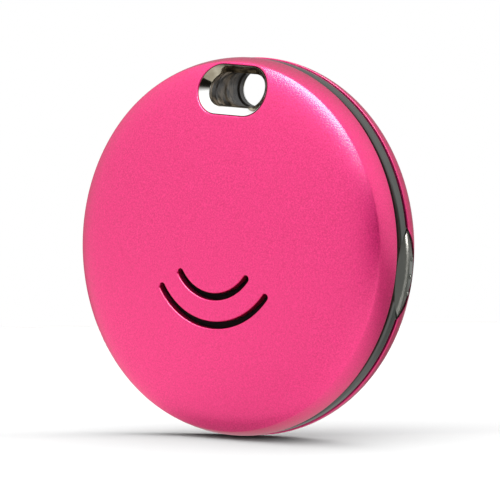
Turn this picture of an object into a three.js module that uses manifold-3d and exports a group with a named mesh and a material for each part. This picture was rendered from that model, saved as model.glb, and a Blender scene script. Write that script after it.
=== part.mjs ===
// Bluetooth tracker tag: a round anodised case in two covers, a dark plastic frame between
// them with a key-ring bore and a side button, and a coin-cell board and sounder inside.
// Millimetres. The disc stands on edge: front towards -Y, key-ring bore at the top (+Z),
// button on the right (+X). Pieces are drawn about the disc's centre, and the whole tag is
// then lowered so that its origin is the middle of the key-ring bore.

import * as THREE from 'three';
import { mergeVertices } from 'three/addons/utils/BufferGeometryUtils.js';
import Module from 'manifold-3d';

const wasm = await Module();
wasm.setup();

// ---- Driving dimensions ----

// Case: depth is measured from the middle of the band, forwards or backwards.
const CASE_RADIUS = 18;
const SKIN = 0.8;                 // wall of both covers
const FRONT = { rim: 0.83, height: frontHeight };
const BACK = { rim: 1.1, height: backHeight };
const FRONT_FACE = { crown: 4.67, dome: 1.93, roll: 0.84, rollPower: 16 };
const FRONT_SIDE = { height: 2.34, taper: 0.47, crease: 0.045 };
const BACK_FACE = { crown: 1.93, shoulderPower: 40, roundness: 1.62 };

// Frame: a ring inside both covers, with the ridge that shows between their rims.
const RING_INNER = 15.6;
const RING_OUTER = 16.9;
const RING_FRONT = -2.25;
const RING_SHOULDER = { radius: 16.5, front: -1.6 };
const RING_REAR = 1.5;
const RING_HEEL = { radius: 16.55, rear: 1.05 };
const RIDGE = { radius: 17.9, front: -0.2, rear: 0.86, bevel: 0.3 };

// Key-ring bore: a stadium sleeve through the case, with a bright chamfered bezel at each end.
const BORE_Z = 14.89;
const BORE_HALF = { x: 3.2, z: 1.6 };
const SLEEVE_WALL = 0.785;
const BEZEL_GAP = 0.05;
const BEZEL_CHAMFER = 0.735;
const BEZEL_LIP = 0.15;

// Sound slots in the front cover.
const SLOT_RADII = [4.7, 7.4];
const SLOT_HALF_ANGLE = THREE.MathUtils.degToRad(55);
const SLOT_WIDTH = 0.65;

// Side button, an eye-shaped cap in an eye-shaped pad of the frame. Its crest runs up the
// middle, and a flange behind the pad keeps it in.
const BUTTON = { y: 0.95, z: -1.12, halfLength: 4.05, halfWidth: 1.34, crest: 17.95, edge: 17.66, inner: 16.5 };
const BUMP = { radius: 0.24, level: 17.68, behindCrest: 0.55, heights: [1.44, -0.23, -1.83] };
const OPENING = { halfLength: 4.15, halfWidth: 1.41 };
const PAD = { halfLength: 4.38, halfWidth: 1.52, inner: 16.2, shoulder: 1.5, rearRadius: 17.55 };
const NOTCH = { halfLength: 4.48, halfWidth: 1.58 };
const NECK = { front: 0.15, rear: 1.25, half: 1.8 };
const FLANGE = { inner: 15.35, outer: 15.85, front: -0.9, rear: 1.3, half: 3.6 };
const STEM = { inner: 14.2, front: -0.1, rear: 0.6, half: 1 };
const PLAY = 0.1;                 // clearance round the button's hidden pieces

// Tact switch, soldered to the rear of the board, pushed inwards along X by the stem.
const SWITCH = { inner: 10.8, outer: 13.3, front: -1.5, rear: 1.1, half: 2.1, cavity: 12.4 };
const PLUNGER = { inner: 12.75, outer: 14.15 };

// Circuit board, the ledge and bosses of the frame that carry it, and its screws.
const BOARD = { radius: 15.3, top: 11.8, front: -2.4, rear: -1.6 };
const LEDGE = { inner: 14.9, front: -1.5, rear: -1.1 };
const BOSS = { radius: 1.1, rear: 0.2, hole: 0.6, bottom: -0.1 };
const SCREW = { circle: 14.2, angles: [45, 180, 300], hole: 0.65, shank: 0.5, head: 0.95, tip: -0.3 };
const SOLDER = 0.05;              // joint between a component and the board

// Pieces between the covers and the frame.
const ADHESIVE = { inner: 15.65, outer: 16.2, front: -2.5, rear: -2.35 };
const DOOR_SEAL = { inner: 15.7, outer: 16.1, front: 1.53, rear: 1.77 };
const SNAP = { inner: 14.2, outer: 16, front: 1.8, rear: 2.05 };
const HOOK = { angles: [20, 150, 215, 330], inner: 14.7, outer: 15.35, tip: 0.4, half: 0.9 };
const SLEEVE_CLEARANCE = 0.3;

// CR2032 coin cell: 20 mm across and 3.2 mm thick, negative cap towards the board.
const CELL = { x: -1, z: -2.6, radius: 10, front: -1.2, rear: 2, wall: 0.25 };
const CELL_CAP = { radius: 8.85, rear: 1 };
const CRADLE = { inner: 10.3, outer: 11, front: -1.5, rear: 1.2 };
const CONTACT_TAB = { inner: -11.25, outer: -11.45, foot: -13.4, low: -5, high: -0.2 };
const CONTACT_SPRING = { inner: 2.2, outer: 5, reach: 8, half: 0.7, thickness: 0.1, tiltDegrees: 3 };

// Piezo sounder behind the slots, its layers from the front cover back to the board.
const SOUNDER_Z = -3.5;
const MESH = { inner: 4, outer: 8.1, front: -4.22, rear: -4.1, halfAngle: THREE.MathUtils.degToRad(62) };
const FOAM = { inner: 7.4, outer: 8.1, front: -3.75, rear: -3.6 };
const DIAPHRAGM = { radius: 8.2, front: -3.55, rear: -3.4 };
const PIEZO = { radius: 6, front: -3.37, rear: -3.2 };
const CARRIER = { inner: 7.2, outer: 8.7, front: -3.35, rear: -2.45 };
const LEAF = { thickness: 0.1, length: 1.6, width: 1, gap: 0.04 };

const LARGE_SEGMENTS = 64;
const MEDIUM_SEGMENTS = 40;
const SMALL_SEGMENTS = 16;
const THROUGH = 12;               // longer than the case is deep, for cutting tools

// ---- Solids ----

function toManifold(geometry) {
  const plain = new THREE.BufferGeometry();
  plain.setAttribute('position', geometry.getAttribute('position'));
  if (geometry.index) plain.setIndex(geometry.index);
  const merged = mergeVertices(plain, 1e-4);
  const corners = merged.index.array;
  const kept = [];
  for (let i = 0; i < corners.length; i += 3) {
    const [a, b, c] = [corners[i], corners[i + 1], corners[i + 2]];
    if (a !== b && b !== c && c !== a) kept.push(a, b, c);
  }
  return new wasm.Manifold(new wasm.Mesh({
    numProp: 3,
    vertProperties: new Float32Array(merged.getAttribute('position').array),
    triVerts: new Uint32Array(kept),
  }));
}

function toGeometry(manifold) {
  const mesh = manifold.getMesh();
  const geometry = new THREE.BufferGeometry();
  geometry.setAttribute('position', new THREE.BufferAttribute(mesh.vertProperties, 3));
  geometry.setIndex(new THREE.BufferAttribute(mesh.triVerts, 1));
  return geometry;
}

function cut(base, ...tools) {
  return toGeometry(tools.reduce((solid, tool) => solid.subtract(toManifold(tool)), toManifold(base)));
}

function join(base, ...others) {
  return toGeometry(others.reduce((solid, other) => solid.add(toManifold(other)), toManifold(base)));
}

function common(a, b) {
  return toGeometry(toManifold(a).intersect(toManifold(b)));
}

// Turns a profile of [radius, depth] points about the disc's axis, faces outwards.
function turned(profile, segments = LARGE_SEGMENTS) {
  const points = profile.map(([radius, y]) => new THREE.Vector2(radius, y));
  if (THREE.ShapeUtils.area(points) < 0) points.reverse();
  return new THREE.LatheGeometry(points, segments);
}

function ring({ inner, outer, front, rear }, segments = LARGE_SEGMENTS) {
  return turned([[inner, front], [outer, front], [outer, rear], [inner, rear], [inner, front]], segments);
}

function disc(radius, front, rear, segments = LARGE_SEGMENTS) {
  return turned([[0, front], [radius, front], [radius, rear], [0, rear]], segments);
}

function at(geometry, x, y, z) {
  return geometry.translate(x, y, z);
}

function block(x0, x1, y0, y1, z0, z1) {
  const box = new THREE.BoxGeometry(x1 - x0, y1 - y0, z1 - z0);
  return at(box, (x0 + x1) / 2, (y0 + y1) / 2, (z0 + z1) / 2);
}

// A flat outline seen from the front, given thickness from y = front to y = rear.
function plate(shape, front, rear, curveSegments = SMALL_SEGMENTS) {
  const options = { depth: rear - front, bevelEnabled: false, curveSegments };
  return at(new THREE.ExtrudeGeometry(shape, options).rotateX(Math.PI / 2), 0, rear, 0);
}

// A flat outline seen from the right side (shape x = -z, shape y = y), thick along X.
function sidePlate(shape, inner, outer, curveSegments = SMALL_SEGMENTS) {
  const options = { depth: outer - inner, bevelEnabled: false, curveSegments };
  return at(new THREE.ExtrudeGeometry(shape, options).rotateY(Math.PI / 2), inner, 0, 0);
}

function stadium(halfX, halfZ, centreZ = 0) {
  const shape = new THREE.Shape();
  const straight = halfX - halfZ;
  shape.absarc(straight, centreZ, halfZ, -Math.PI / 2, Math.PI / 2);
  shape.absarc(-straight, centreZ, halfZ, Math.PI / 2, 3 * Math.PI / 2);
  shape.closePath();
  return shape;
}

// Two equal arcs that meet in a point at each end, like an eye.
function eye({ halfLength, halfWidth }) {
  const radius = (halfLength ** 2 + halfWidth ** 2) / (2 * halfWidth);
  const reach = Math.asin(halfLength / radius);
  const shape = new THREE.Shape();
  shape.absarc(0, halfWidth - radius, radius, Math.PI / 2 - reach, Math.PI / 2 + reach);
  shape.absarc(0, radius - halfWidth, radius, -Math.PI / 2 - reach, -Math.PI / 2 + reach);
  shape.closePath();
  return shape;
}

function eyePrism(size, inner, outer) {
  return at(sidePlate(eye(size), inner, outer), 0, BUTTON.y, BUTTON.z);
}

// Part of a ring about the straight-down direction, its ends square or round.
function arcBand(inner, outer, halfAngle, roundEnds) {
  const down = -Math.PI / 2;
  const middle = (inner + outer) / 2;
  const endRadius = (outer - inner) / 2;
  const [first, last] = [down - halfAngle, down + halfAngle];
  const shape = new THREE.Shape();
  shape.absarc(0, 0, outer, first, last);
  if (roundEnds) {
    const [x, y] = [middle * Math.cos(last), middle * Math.sin(last)];
    shape.absarc(x, y, endRadius, last, last + Math.PI);
  }
  shape.absarc(0, 0, inner, last, first, true);
  if (roundEnds) {
    const [x, y] = [middle * Math.cos(first), middle * Math.sin(first)];
    shape.absarc(x, y, endRadius, first + Math.PI, first + 2 * Math.PI);
  }
  shape.closePath();
  return shape;
}

function polar(radius, degrees) {
  const angle = THREE.MathUtils.degToRad(degrees);
  return [radius * Math.cos(angle), radius * Math.sin(angle)];
}

// ---- Case ----

// Height of the front's surface above its rim, share being the radius as a share of the
// case's. A dome rolls off to a soft crease; below that a side curves in from the rim.
function frontHeight(share) {
  const { crown, dome, roll, rollPower } = FRONT_FACE;
  const { height, taper, crease } = FRONT_SIDE;
  const face = crown - dome * share ** 2 - roll * share ** rollPower;
  const side = height * Math.sqrt((CASE_RADIUS * (1 - share)) / taper);
  return Math.max((face + side) / 2 - Math.hypot((face - side) / 2, crease), 0);
}

// The back is flat, with a rounded shoulder.
function backHeight(share) {
  const { crown, shoulderPower, roundness } = BACK_FACE;
  return crown * (1 - share ** shoulderPower) ** (1 / roundness);
}

// Depth of a cover's outer surface at a radius.
function coverDepth({ rim, height }, radius) {
  return rim + height(Math.min(radius / CASE_RADIUS, 1));
}

// Outer and inner skin of a cover; side is -1 for the front and 1 for the back.
function coverShell(form, side) {
  const steps = 7;
  const scale = (CASE_RADIUS - SKIN) / CASE_RADIUS;
  const outer = [];
  const inner = [];
  for (let i = 0; i <= steps; i += 1) {
    const radius = CASE_RADIUS * (1 - (1 - i / steps) ** 3);
    const depth = coverDepth(form, radius);
    outer.push([radius, side * depth]);
    if (depth - SKIN > form.rim) inner.push([radius * scale, side * (depth - SKIN)]);
  }
  inner.push([CASE_RADIUS - SKIN, side * form.rim]);
  return turned([...outer, ...inner.reverse()]);
}

// A cutting tool the shape of the bore, grown all round.
function boreTool(grow) {
  return plate(stadium(BORE_HALF.x + grow, BORE_HALF.z + grow, BORE_Z), -THROUGH, THROUGH);
}

function frontCover() {
  const slots = SLOT_RADII.map((radius) => {
    const half = SLOT_WIDTH / 2;
    const outline = arcBand(radius - half, radius + half, SLOT_HALF_ANGLE, true);
    return plate(outline, -THROUGH, 0);
  });
  return cut(coverShell(FRONT, -1), boreTool(SLEEVE_WALL), ...slots);
}

function backCover() {
  return cut(coverShell(BACK, 1), boreTool(SLEEVE_WALL), eyePrism(NOTCH, PAD.inner, CASE_RADIUS + 1));
}

// A thin ring inside the case, cut away where the bore's sleeve passes.
function ringRoundSleeve(size) {
  return cut(ring(size), boreTool(SLEEVE_WALL + SLEEVE_CLEARANCE));
}

// Snap ring bonded inside the back cover, with four hooks that reach into the frame.
function snapRing() {
  const hooks = HOOK.angles.map((degrees) => {
    const hook = block(HOOK.inner, HOOK.outer, HOOK.tip, SNAP.rear, -HOOK.half, HOOK.half);
    return hook.rotateY(-THREE.MathUtils.degToRad(degrees));
  });
  return join(ringRoundSleeve(SNAP), ...hooks);
}

// ---- Frame ----

// The bore's own wall, a sleeve whose ends lie just behind the two bezels.
function boreSleeve() {
  const below = BEZEL_GAP + BEZEL_CHAMFER + BEZEL_LIP + BEZEL_GAP;
  const front = ({ frontDepth }) => below - frontDepth;
  const rear = ({ backDepth }) => backDepth - below;
  return boreRing([[SLEEVE_WALL - BEZEL_GAP, front], [0, front], [0, rear], [SLEEVE_WALL - BEZEL_GAP, rear]]);
}

// The pad is level with the ridge, then slopes in to follow the back cover's shoulder.
function buttonPad() {
  const bulk = eyePrism(PAD, PAD.inner, CASE_RADIUS);
  const [front, rear] = [BUTTON.y - PAD.halfWidth, BUTTON.y + PAD.halfWidth];
  const roof = turned([
    [0, front - 1], [RIDGE.radius, front - 1], [RIDGE.radius, PAD.shoulder], [PAD.rearRadius, rear], [0, rear],
  ]);
  return common(bulk, roof);
}

// One small cylinder at each screw: a boss, or a tool for a hole.
function screwPosts(radius, front, rear) {
  return SCREW.angles.map((degrees) => {
    const [x, z] = polar(SCREW.circle, degrees);
    return at(disc(radius, front, rear, SMALL_SEGMENTS), x, 0, z);
  });
}

function frame() {
  const body = turned([
    [RING_INNER, RING_FRONT], [RING_SHOULDER.radius, RING_FRONT],
    [RING_OUTER, RING_SHOULDER.front], [RING_OUTER, RIDGE.front],
    [RIDGE.radius - RIDGE.bevel, RIDGE.front], [RIDGE.radius, RIDGE.front + RIDGE.bevel],
    [RIDGE.radius, RIDGE.rear], [RING_OUTER, RIDGE.rear],
    [RING_OUTER, RING_HEEL.rear], [RING_HEEL.radius, RING_REAR], [RING_INNER, RING_REAR],
    [RING_INNER, LEDGE.rear], [LEDGE.inner, LEDGE.rear], [LEDGE.inner, LEDGE.front],
    [RING_INNER, LEDGE.front], [RING_INNER, RING_FRONT],
  ]);
  const pocketHalf = FLANGE.half + 0.85;
  const pocket = block(
    LEDGE.inner - 0.4, PAD.inner, FLANGE.front - 0.15, THROUGH,
    BUTTON.z - pocketHalf, BUTTON.z + pocketHalf,
  );
  const opening = eyePrism(OPENING, PAD.inner - 1, CASE_RADIUS + 1);
  const whole = join(body, buttonPad(), ...screwPosts(BOSS.radius, LEDGE.front, BOSS.rear));
  const screwHoles = screwPosts(BOSS.hole, BOARD.rear, BOSS.bottom);
  return cut(whole, boreTool(SLEEVE_WALL), pocket, opening, ...screwHoles);
}

// ---- Bore sleeve and bezels ----

// A ring round the bore. Each entry of section is a corner of its cross-section: how far
// outside the bore's wall it lies, and its depth, given the covers' depths at that station.
function boreRing(section) {
  const { x, z } = BORE_HALF;
  const steps = 12;
  const stations = [];
  for (const sign of [1, -1]) {
    for (let i = 0; i <= steps; i += 1) {
      stations.push([sign * (x - z), sign * (i / steps - 0.5) * Math.PI, sign]);
    }
  }
  const positions = stations.flatMap(([centreX, turn, sign]) => {
    const [across, up] = [sign * Math.cos(turn), Math.sin(turn)];
    const edge = z + BEZEL_CHAMFER;
    const edgeRadius = Math.hypot(centreX + edge * across, BORE_Z + edge * up);
    const depths = { frontDepth: coverDepth(FRONT, edgeRadius), backDepth: coverDepth(BACK, edgeRadius) };
    return section.flatMap(([grow, depth]) => (
      [centreX + (z + grow) * across, depth(depths), BORE_Z + (z + grow) * up]
    ));
  });
  return swept(positions, stations.length, section.length);
}

// Joins equal closed sections, station after station, into one ring that closes on itself.
function swept(positions, stations, corners) {
  const index = [];
  for (let i = 0; i < stations; i += 1) {
    for (let j = 0; j < corners; j += 1) {
      const a = i * corners + j;
      const b = i * corners + (j + 1) % corners;
      const c = ((i + 1) % stations) * corners + (j + 1) % corners;
      const d = ((i + 1) % stations) * corners + j;
      index.push(a, c, b, a, d, c);
    }
  }
  const geometry = new THREE.BufferGeometry();
  geometry.setAttribute('position', new THREE.Float32BufferAttribute(positions, 3));
  geometry.setIndex(index);
  return geometry;
}

// A bright ring round one mouth of the bore: its outer edge follows the cover's surface, and
// a 45 degree chamfer leads from there down to a short lip in the bore.
function bezelSection(surface, side) {
  const foot = BEZEL_CHAMFER + BEZEL_LIP;
  const corners = [[BEZEL_CHAMFER, 0], [0, BEZEL_CHAMFER], [0, foot], [BEZEL_CHAMFER, foot]];
  const section = corners.map(([grow, down]) => {
    const depth = (depths) => side * (depths[surface] - BEZEL_GAP - down);
    return [grow, depth];
  });
  return side < 0 ? section : section.reverse();
}

// ---- Button and switch ----

// A block of the button's mechanism, from x = inner to outer, centred on the button's height.
function buttonBlock({ inner, outer, front, rear, half }) {
  return block(inner, outer, front, rear, BUTTON.z - half, BUTTON.z + half);
}

function sideButton() {
  const { y, crest, edge, inner, halfWidth } = BUTTON;
  const roof = turned([
    [0, y - 2 * halfWidth], [edge, y - halfWidth], [crest, y], [edge, y + halfWidth], [0, y + 2 * halfWidth],
  ]);
  const cap = common(eyePrism(BUTTON, inner, CASE_RADIUS + 1), roof);
  const neck = buttonBlock({ ...NECK, inner: FLANGE.outer - PLAY, outer: inner + PLAY });
  const stem = buttonBlock({ ...STEM, outer: FLANGE.inner + PLAY });
  const bumps = BUMP.heights.map((height) => {
    const bump = new THREE.SphereGeometry(BUMP.radius, 10, 8);
    const z = BUTTON.z + height;
    return at(bump, Math.sqrt(BUMP.level ** 2 - z ** 2), y + BUMP.behindCrest, z);
  });
  return join(cap, neck, buttonBlock(FLANGE), stem, ...bumps);
}

// Silicone frame squeezed between the flange and the pad.
function buttonSeal() {
  const span = { inner: FLANGE.outer + PLAY / 2, outer: PAD.inner - PLAY / 2 };
  const outside = { ...span, front: FLANGE.front, rear: FLANGE.rear + PLAY, half: FLANGE.half + PLAY };
  const inside = { inner: 0, outer: CASE_RADIUS, front: NECK.front - PLAY, rear: NECK.rear + PLAY };
  return cut(buttonBlock(outside), buttonBlock({ ...inside, half: NECK.half + PLAY }));
}

function switchBody() {
  const cavity = { front: STEM.front - PLAY, rear: STEM.rear + PLAY, half: STEM.half + PLAY };
  return cut(buttonBlock(SWITCH), buttonBlock({ ...cavity, inner: SWITCH.cavity, outer: CASE_RADIUS }));
}

function switchPlunger() {
  return buttonBlock({ ...STEM, ...PLUNGER });
}

// ---- Board ----

function circuitBoard() {
  const { radius, top, front, rear } = BOARD;
  const tubeSide = block(-radius, radius, -THROUGH, THROUGH, top, radius + 1);
  return cut(disc(radius, front, rear), tubeSide, ...screwPosts(SCREW.hole, -THROUGH, THROUGH));
}

// A component soldered to the front of the board, centred at (x, z).
function component(x, z, width, height, thickness) {
  const rear = BOARD.front - SOLDER;
  return block(x - width / 2, x + width / 2, rear - thickness, rear, z - height / 2, z + height / 2);
}

// A pan-head screw from the front, its head drawn with a shallow driver dimple.
function boardScrew(degrees) {
  const [x, z] = polar(SCREW.circle, degrees);
  const under = BOARD.front - SOLDER;
  const top = under - 0.5;
  const edge = under - 0.3;
  const profile = [
    [0, edge], [SCREW.head / 3, top], [SCREW.head, edge], [SCREW.head, under],
    [SCREW.shank, under], [SCREW.shank, SCREW.tip], [0, SCREW.tip],
  ];
  return at(turned(profile, SMALL_SEGMENTS), x, 0, z);
}

// ---- Coin cell and its contacts ----

function cellPiece(profile) {
  return at(turned(profile, MEDIUM_SEGMENTS), CELL.x, 0, CELL.z);
}

function cellCan() {
  const { radius, front, rear, wall } = CELL;
  return cellPiece([
    [0, rear - wall], [radius - wall, rear - wall], [radius - wall, front + 2 * wall],
    [radius, front + wall], [radius, rear - wall], [radius - wall, rear], [0, rear],
  ]);
}

function cellCap() {
  const { front, wall } = CELL;
  const { radius, rear } = CELL_CAP;
  return cellPiece([
    [0, front], [radius - wall, front], [radius, front + wall], [radius, rear], [radius - wall, rear],
    [radius - wall, front + 1.5 * wall], [radius - 1.5 * wall, front + wall], [0, front + wall],
  ]);
}

// Plastic ring that keeps the cap and the can apart.
function cellGasket() {
  const gap = 0.1;
  const inner = CELL_CAP.radius + gap;
  const outer = CELL.radius - CELL.wall - gap;
  const size = { inner, outer, front: CELL.front + 2 * gap, rear: CELL_CAP.rear };
  return at(ring(size, MEDIUM_SEGMENTS), CELL.x, 0, CELL.z);
}

// The pressed electrodes that fill the cell.
function cellCore() {
  const radius = CELL_CAP.radius - 2 * CELL.wall;
  const inset = CELL.wall + 0.05;
  return at(disc(radius, CELL.front + inset, CELL.rear - inset, MEDIUM_SEGMENTS), CELL.x, 0, CELL.z);
}

function batteryCradle() {
  const wall = at(ring(CRADLE, MEDIUM_SEGMENTS), CELL.x, 0, CELL.z);
  const clear = 0.6;
  const { low, high } = CONTACT_TAB;
  const left = CELL.x - CELL.radius + 0.5;
  const contactWindow = block(-CASE_RADIUS, left, -THROUGH, THROUGH, low - clear, high + clear);
  const bottom = CELL.z - CELL.radius + 1;
  const thumbNotch = block(CELL.x - 3.5, CELL.x + 3.5, -0.4, THROUGH, -CASE_RADIUS, bottom);
  return cut(wall, contactWindow, thumbNotch);
}

// An upright tab beside the can, on a foot soldered to the board.
function positiveContact() {
  const { inner, outer, foot, low, high } = CONTACT_TAB;
  const sheet = inner - outer;
  const middle = (low + high) / 2;
  const tab = block(outer, inner, CRADLE.front, CRADLE.rear, low, high);
  const sole = block(foot, inner, CRADLE.front, CRADLE.front + sheet, middle - 1.3, middle + 1.3);
  return join(tab, sole);
}

// A ring on the board with three fingers that rise towards the cell's cap.
function negativeContact() {
  const { inner, outer, reach, half, thickness, tiltDegrees } = CONTACT_SPRING;
  const front = BOARD.rear + SOLDER;
  const base = ring({ inner, outer, front, rear: front + thickness }, MEDIUM_SEGMENTS);
  const fingers = [90, 210, 330].map((degrees) => {
    const finger = block(outer - 0.5, reach, 0, thickness, -half, half);
    finger.translate(-outer, 0, 0).rotateZ(THREE.MathUtils.degToRad(tiltDegrees)).translate(outer, front, 0);
    return finger.rotateY(-THREE.MathUtils.degToRad(degrees));
  });
  return at(join(base, ...fingers), CELL.x, 0, CELL.z);
}

// ---- Sounder ----

function sounderRing(size) {
  return at(ring(size, MEDIUM_SEGMENTS), 0, 0, SOUNDER_Z);
}

function sounderDisc({ radius, front, rear }) {
  return at(disc(radius, front, rear, MEDIUM_SEGMENTS), 0, 0, SOUNDER_Z);
}

function acousticMesh() {
  return plate(arcBand(MESH.inner, MESH.outer, MESH.halfAngle, false), MESH.front, MESH.rear);
}

// A spring leaf folded like a C, from the board to the sounder.
function sounderContact(x) {
  const { thickness, length, width, gap } = LEAF;
  const front = PIEZO.rear + gap;
  const rear = BOARD.front - gap;
  const outline = new THREE.Shape();
  outline.moveTo(0, rear);
  outline.lineTo(length, rear);
  outline.lineTo(length, rear - thickness);
  outline.lineTo(thickness, rear - thickness);
  outline.lineTo(thickness, front + thickness);
  outline.lineTo(length, front + thickness);
  outline.lineTo(length, front);
  outline.lineTo(0, front);
  outline.closePath();
  const leaf = new THREE.ExtrudeGeometry(outline, { depth: width, bevelEnabled: false });
  return at(leaf, x, 0, SOUNDER_Z - width / 2);
}

// ---- The tag ----

const group = new THREE.Group();

function add(name, geometry, color, roughness, metalness) {
  const material = new THREE.MeshStandardMaterial({ color, roughness, metalness });
  const mesh = new THREE.Mesh(geometry, material);
  mesh.name = name;
  mesh.position.z = -BORE_Z;
  group.add(mesh);
}

const PINK = 0xf04e8a;
const BRIGHT = 0xe8e8ea;
const DARK_GLOSS = 0x2b302c;
const GOLD = 0xd9b45a;
const STEEL = 0xc6c8cb;
const BLACK = 0x17181a;
const CERAMIC = 0xece7da;
const INNER_PLASTIC = 0x2a2c2d;
const RUBBER = 0x3a3a3c;

add('front_cover', frontCover(), PINK, 0.42, 0.6);
add('back_cover', backCover(), PINK, 0.42, 0.6);
add('snap_ring', snapRing(), INNER_PLASTIC, 0.5, 0);
add('door_seal', ringRoundSleeve(DOOR_SEAL), RUBBER, 0.8, 0);
add('front_adhesive', ringRoundSleeve(ADHESIVE), BLACK, 0.9, 0);
add('frame', frame(), DARK_GLOSS, 0.25, 0);
add('bore_sleeve', boreSleeve(), DARK_GLOSS, 0.25, 0);
add('front_bezel', boreRing(bezelSection('frontDepth', -1)), BRIGHT, 0.08, 1);
add('rear_bezel', boreRing(bezelSection('backDepth', 1)), BRIGHT, 0.08, 1);

add('side_button', sideButton(), 0x4a504b, 0.3, 0);
add('button_seal', buttonSeal(), RUBBER, 0.8, 0);
add('switch_body', switchBody(), INNER_PLASTIC, 0.5, 0);
add('switch_plunger', switchPlunger(), 0xd8d4c8, 0.5, 0);

add('circuit_board', circuitBoard(), 0x1d5b3a, 0.4, 0);
add('radio_chip', component(-3.5, 8.6, 5, 5, 0.85), BLACK, 0.5, 0);
add('crystal', component(-9, 7.9, 3.2, 2.5, 0.7), STEEL, 0.25, 1);
add('chip_antenna', component(4.6, 10.4, 6.5, 2, 1), CERAMIC, 0.5, 0);
add('driver_chip', component(10.8, 4.6, 3, 3, 0.8), BLACK, 0.5, 0);
add('inductor', component(11.4, -1, 3, 3, 0.95), 0x4b4a48, 0.6, 0);
const CAPACITORS = [[3.4, 7.6], [-10.6, 4.3], [-12.2, 2.6], [11.3, -5.2]];
CAPACITORS.forEach(([x, z], i) => {
  add(`capacitor_${i + 1}`, component(x, z, 1.6, 0.8, 0.8), 0xb08a62, 0.5, 0);
});
SCREW.angles.forEach((degrees, i) => {
  add(`board_screw_${i + 1}`, boardScrew(degrees), STEEL, 0.3, 1);
});

add('battery_cradle', batteryCradle(), INNER_PLASTIC, 0.5, 0);
add('positive_contact', positiveContact(), GOLD, 0.3, 1);
add('negative_contact', negativeContact(), GOLD, 0.3, 1);
add('cell_can', cellCan(), STEEL, 0.25, 1);
add('cell_gasket', cellGasket(), 0x3d4a6b, 0.6, 0);
add('cell_cap', cellCap(), STEEL, 0.35, 1);
add('cell_core', cellCore(), 0x3c3c40, 0.9, 0);

add('sounder_carrier', sounderRing(CARRIER), INNER_PLASTIC, 0.5, 0);
add('sounder_plate', sounderDisc(DIAPHRAGM), GOLD, 0.3, 1);
add('sounder_ceramic', sounderDisc(PIEZO), CERAMIC, 0.6, 0);
add('sounder_gasket', sounderRing(FOAM), RUBBER, 0.9, 0);
add('acoustic_mesh', acousticMesh(), BLACK, 0.9, 0);
[-3.4, 2].forEach((x, i) => {
  add(`sounder_contact_${i + 1}`, sounderContact(x), GOLD, 0.3, 1);
});

export default group;
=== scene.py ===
"""Looks of the bluetooth tracker tag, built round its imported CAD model.

Lengths are in millimetres about the disc's centre, with the front of the tag towards -Y, the
key-ring bore at the top and the side button towards +X. Piece.place() moves a finished mesh
into the CAD frame, in metres. Sizes come from the CAD model's boxes wherever it has them.
"""

import math
from functools import partial

import bmesh
import bpy
import numpy as np
from mathutils import Matrix, Vector
from mathutils.geometry import delaunay_2d_cdt


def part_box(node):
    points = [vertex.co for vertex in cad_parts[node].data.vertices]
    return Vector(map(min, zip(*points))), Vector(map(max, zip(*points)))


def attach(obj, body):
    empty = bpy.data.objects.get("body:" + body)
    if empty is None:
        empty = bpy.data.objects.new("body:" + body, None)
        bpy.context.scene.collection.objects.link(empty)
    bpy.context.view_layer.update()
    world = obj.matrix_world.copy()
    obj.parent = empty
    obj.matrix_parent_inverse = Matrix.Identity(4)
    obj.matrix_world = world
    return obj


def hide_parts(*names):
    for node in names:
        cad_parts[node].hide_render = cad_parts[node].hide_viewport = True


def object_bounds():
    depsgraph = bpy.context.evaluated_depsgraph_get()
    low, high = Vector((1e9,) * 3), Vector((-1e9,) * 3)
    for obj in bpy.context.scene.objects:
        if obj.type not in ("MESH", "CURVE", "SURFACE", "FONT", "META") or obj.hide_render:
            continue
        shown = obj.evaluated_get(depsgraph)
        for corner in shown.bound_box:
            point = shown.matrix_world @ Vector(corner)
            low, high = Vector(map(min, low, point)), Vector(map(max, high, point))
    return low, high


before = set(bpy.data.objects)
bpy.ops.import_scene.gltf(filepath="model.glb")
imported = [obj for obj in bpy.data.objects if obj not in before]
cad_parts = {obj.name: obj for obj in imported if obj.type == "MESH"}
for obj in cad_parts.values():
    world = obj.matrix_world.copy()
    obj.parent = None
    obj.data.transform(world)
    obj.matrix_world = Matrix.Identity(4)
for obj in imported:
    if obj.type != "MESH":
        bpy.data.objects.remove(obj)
cad_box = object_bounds()

# ---- Sizes ----

MM = 0.001


def node_box(name):
    """Lowest and highest corner of a CAD node, in millimetres about the disc's centre."""
    low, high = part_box(name)
    shift = Vector((0, 0, CENTRE_Z))
    return low / MM - shift, high / MM - shift


RADIUS = (cad_box[1][0] - cad_box[0][0]) / 2 / MM
CENTRE_Z = cad_box[0][2] / MM + RADIUS
BORE_Z = -CENTRE_Z

FRONT_FACE = -node_box("front_cover")[0].y
BACK_FACE = node_box("back_cover")[1].y
FRONT_RIM = -node_box("front_cover")[1].y
BACK_RIM = node_box("back_cover")[0].y
SKIN = 0.8
FRONT_DOME = 1.93
FRONT_ROLL = 0.84
FRONT_ROLL_POWER = 16
FRONT_SIDE = 2.34
FRONT_TAPER = 0.47
FRONT_CREASE = 0.045
BACK_SHOULDER_POWER = 40
BACK_ROUNDNESS = 1.62

BEZEL_CHAMFER = 0.735
BEZEL_GAP = 0.05
BEZEL_HIGH = node_box("front_bezel")[1]
BORE_HALF_X = BEZEL_HIGH.x - BEZEL_CHAMFER
BORE_HALF_Z = BEZEL_HIGH.z - BORE_Z - BEZEL_CHAMFER
SLEEVE_WALL = BEZEL_CHAMFER + BEZEL_GAP

SLOT_RADII = (4.7, 7.4)
SLOT_HALF_WIDTH = 0.325
SLOT_HALF_ANGLE = 55
SLOT_STEP = 0.12
SLOT_END_STEPS = 11

RIDGE_RADIUS = node_box("frame")[1].x
RIDGE_FRONT = -0.14
RIDGE_REAR = 0.86
RING_INNER = 15.6
RING_OUTER = 16.9

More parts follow.
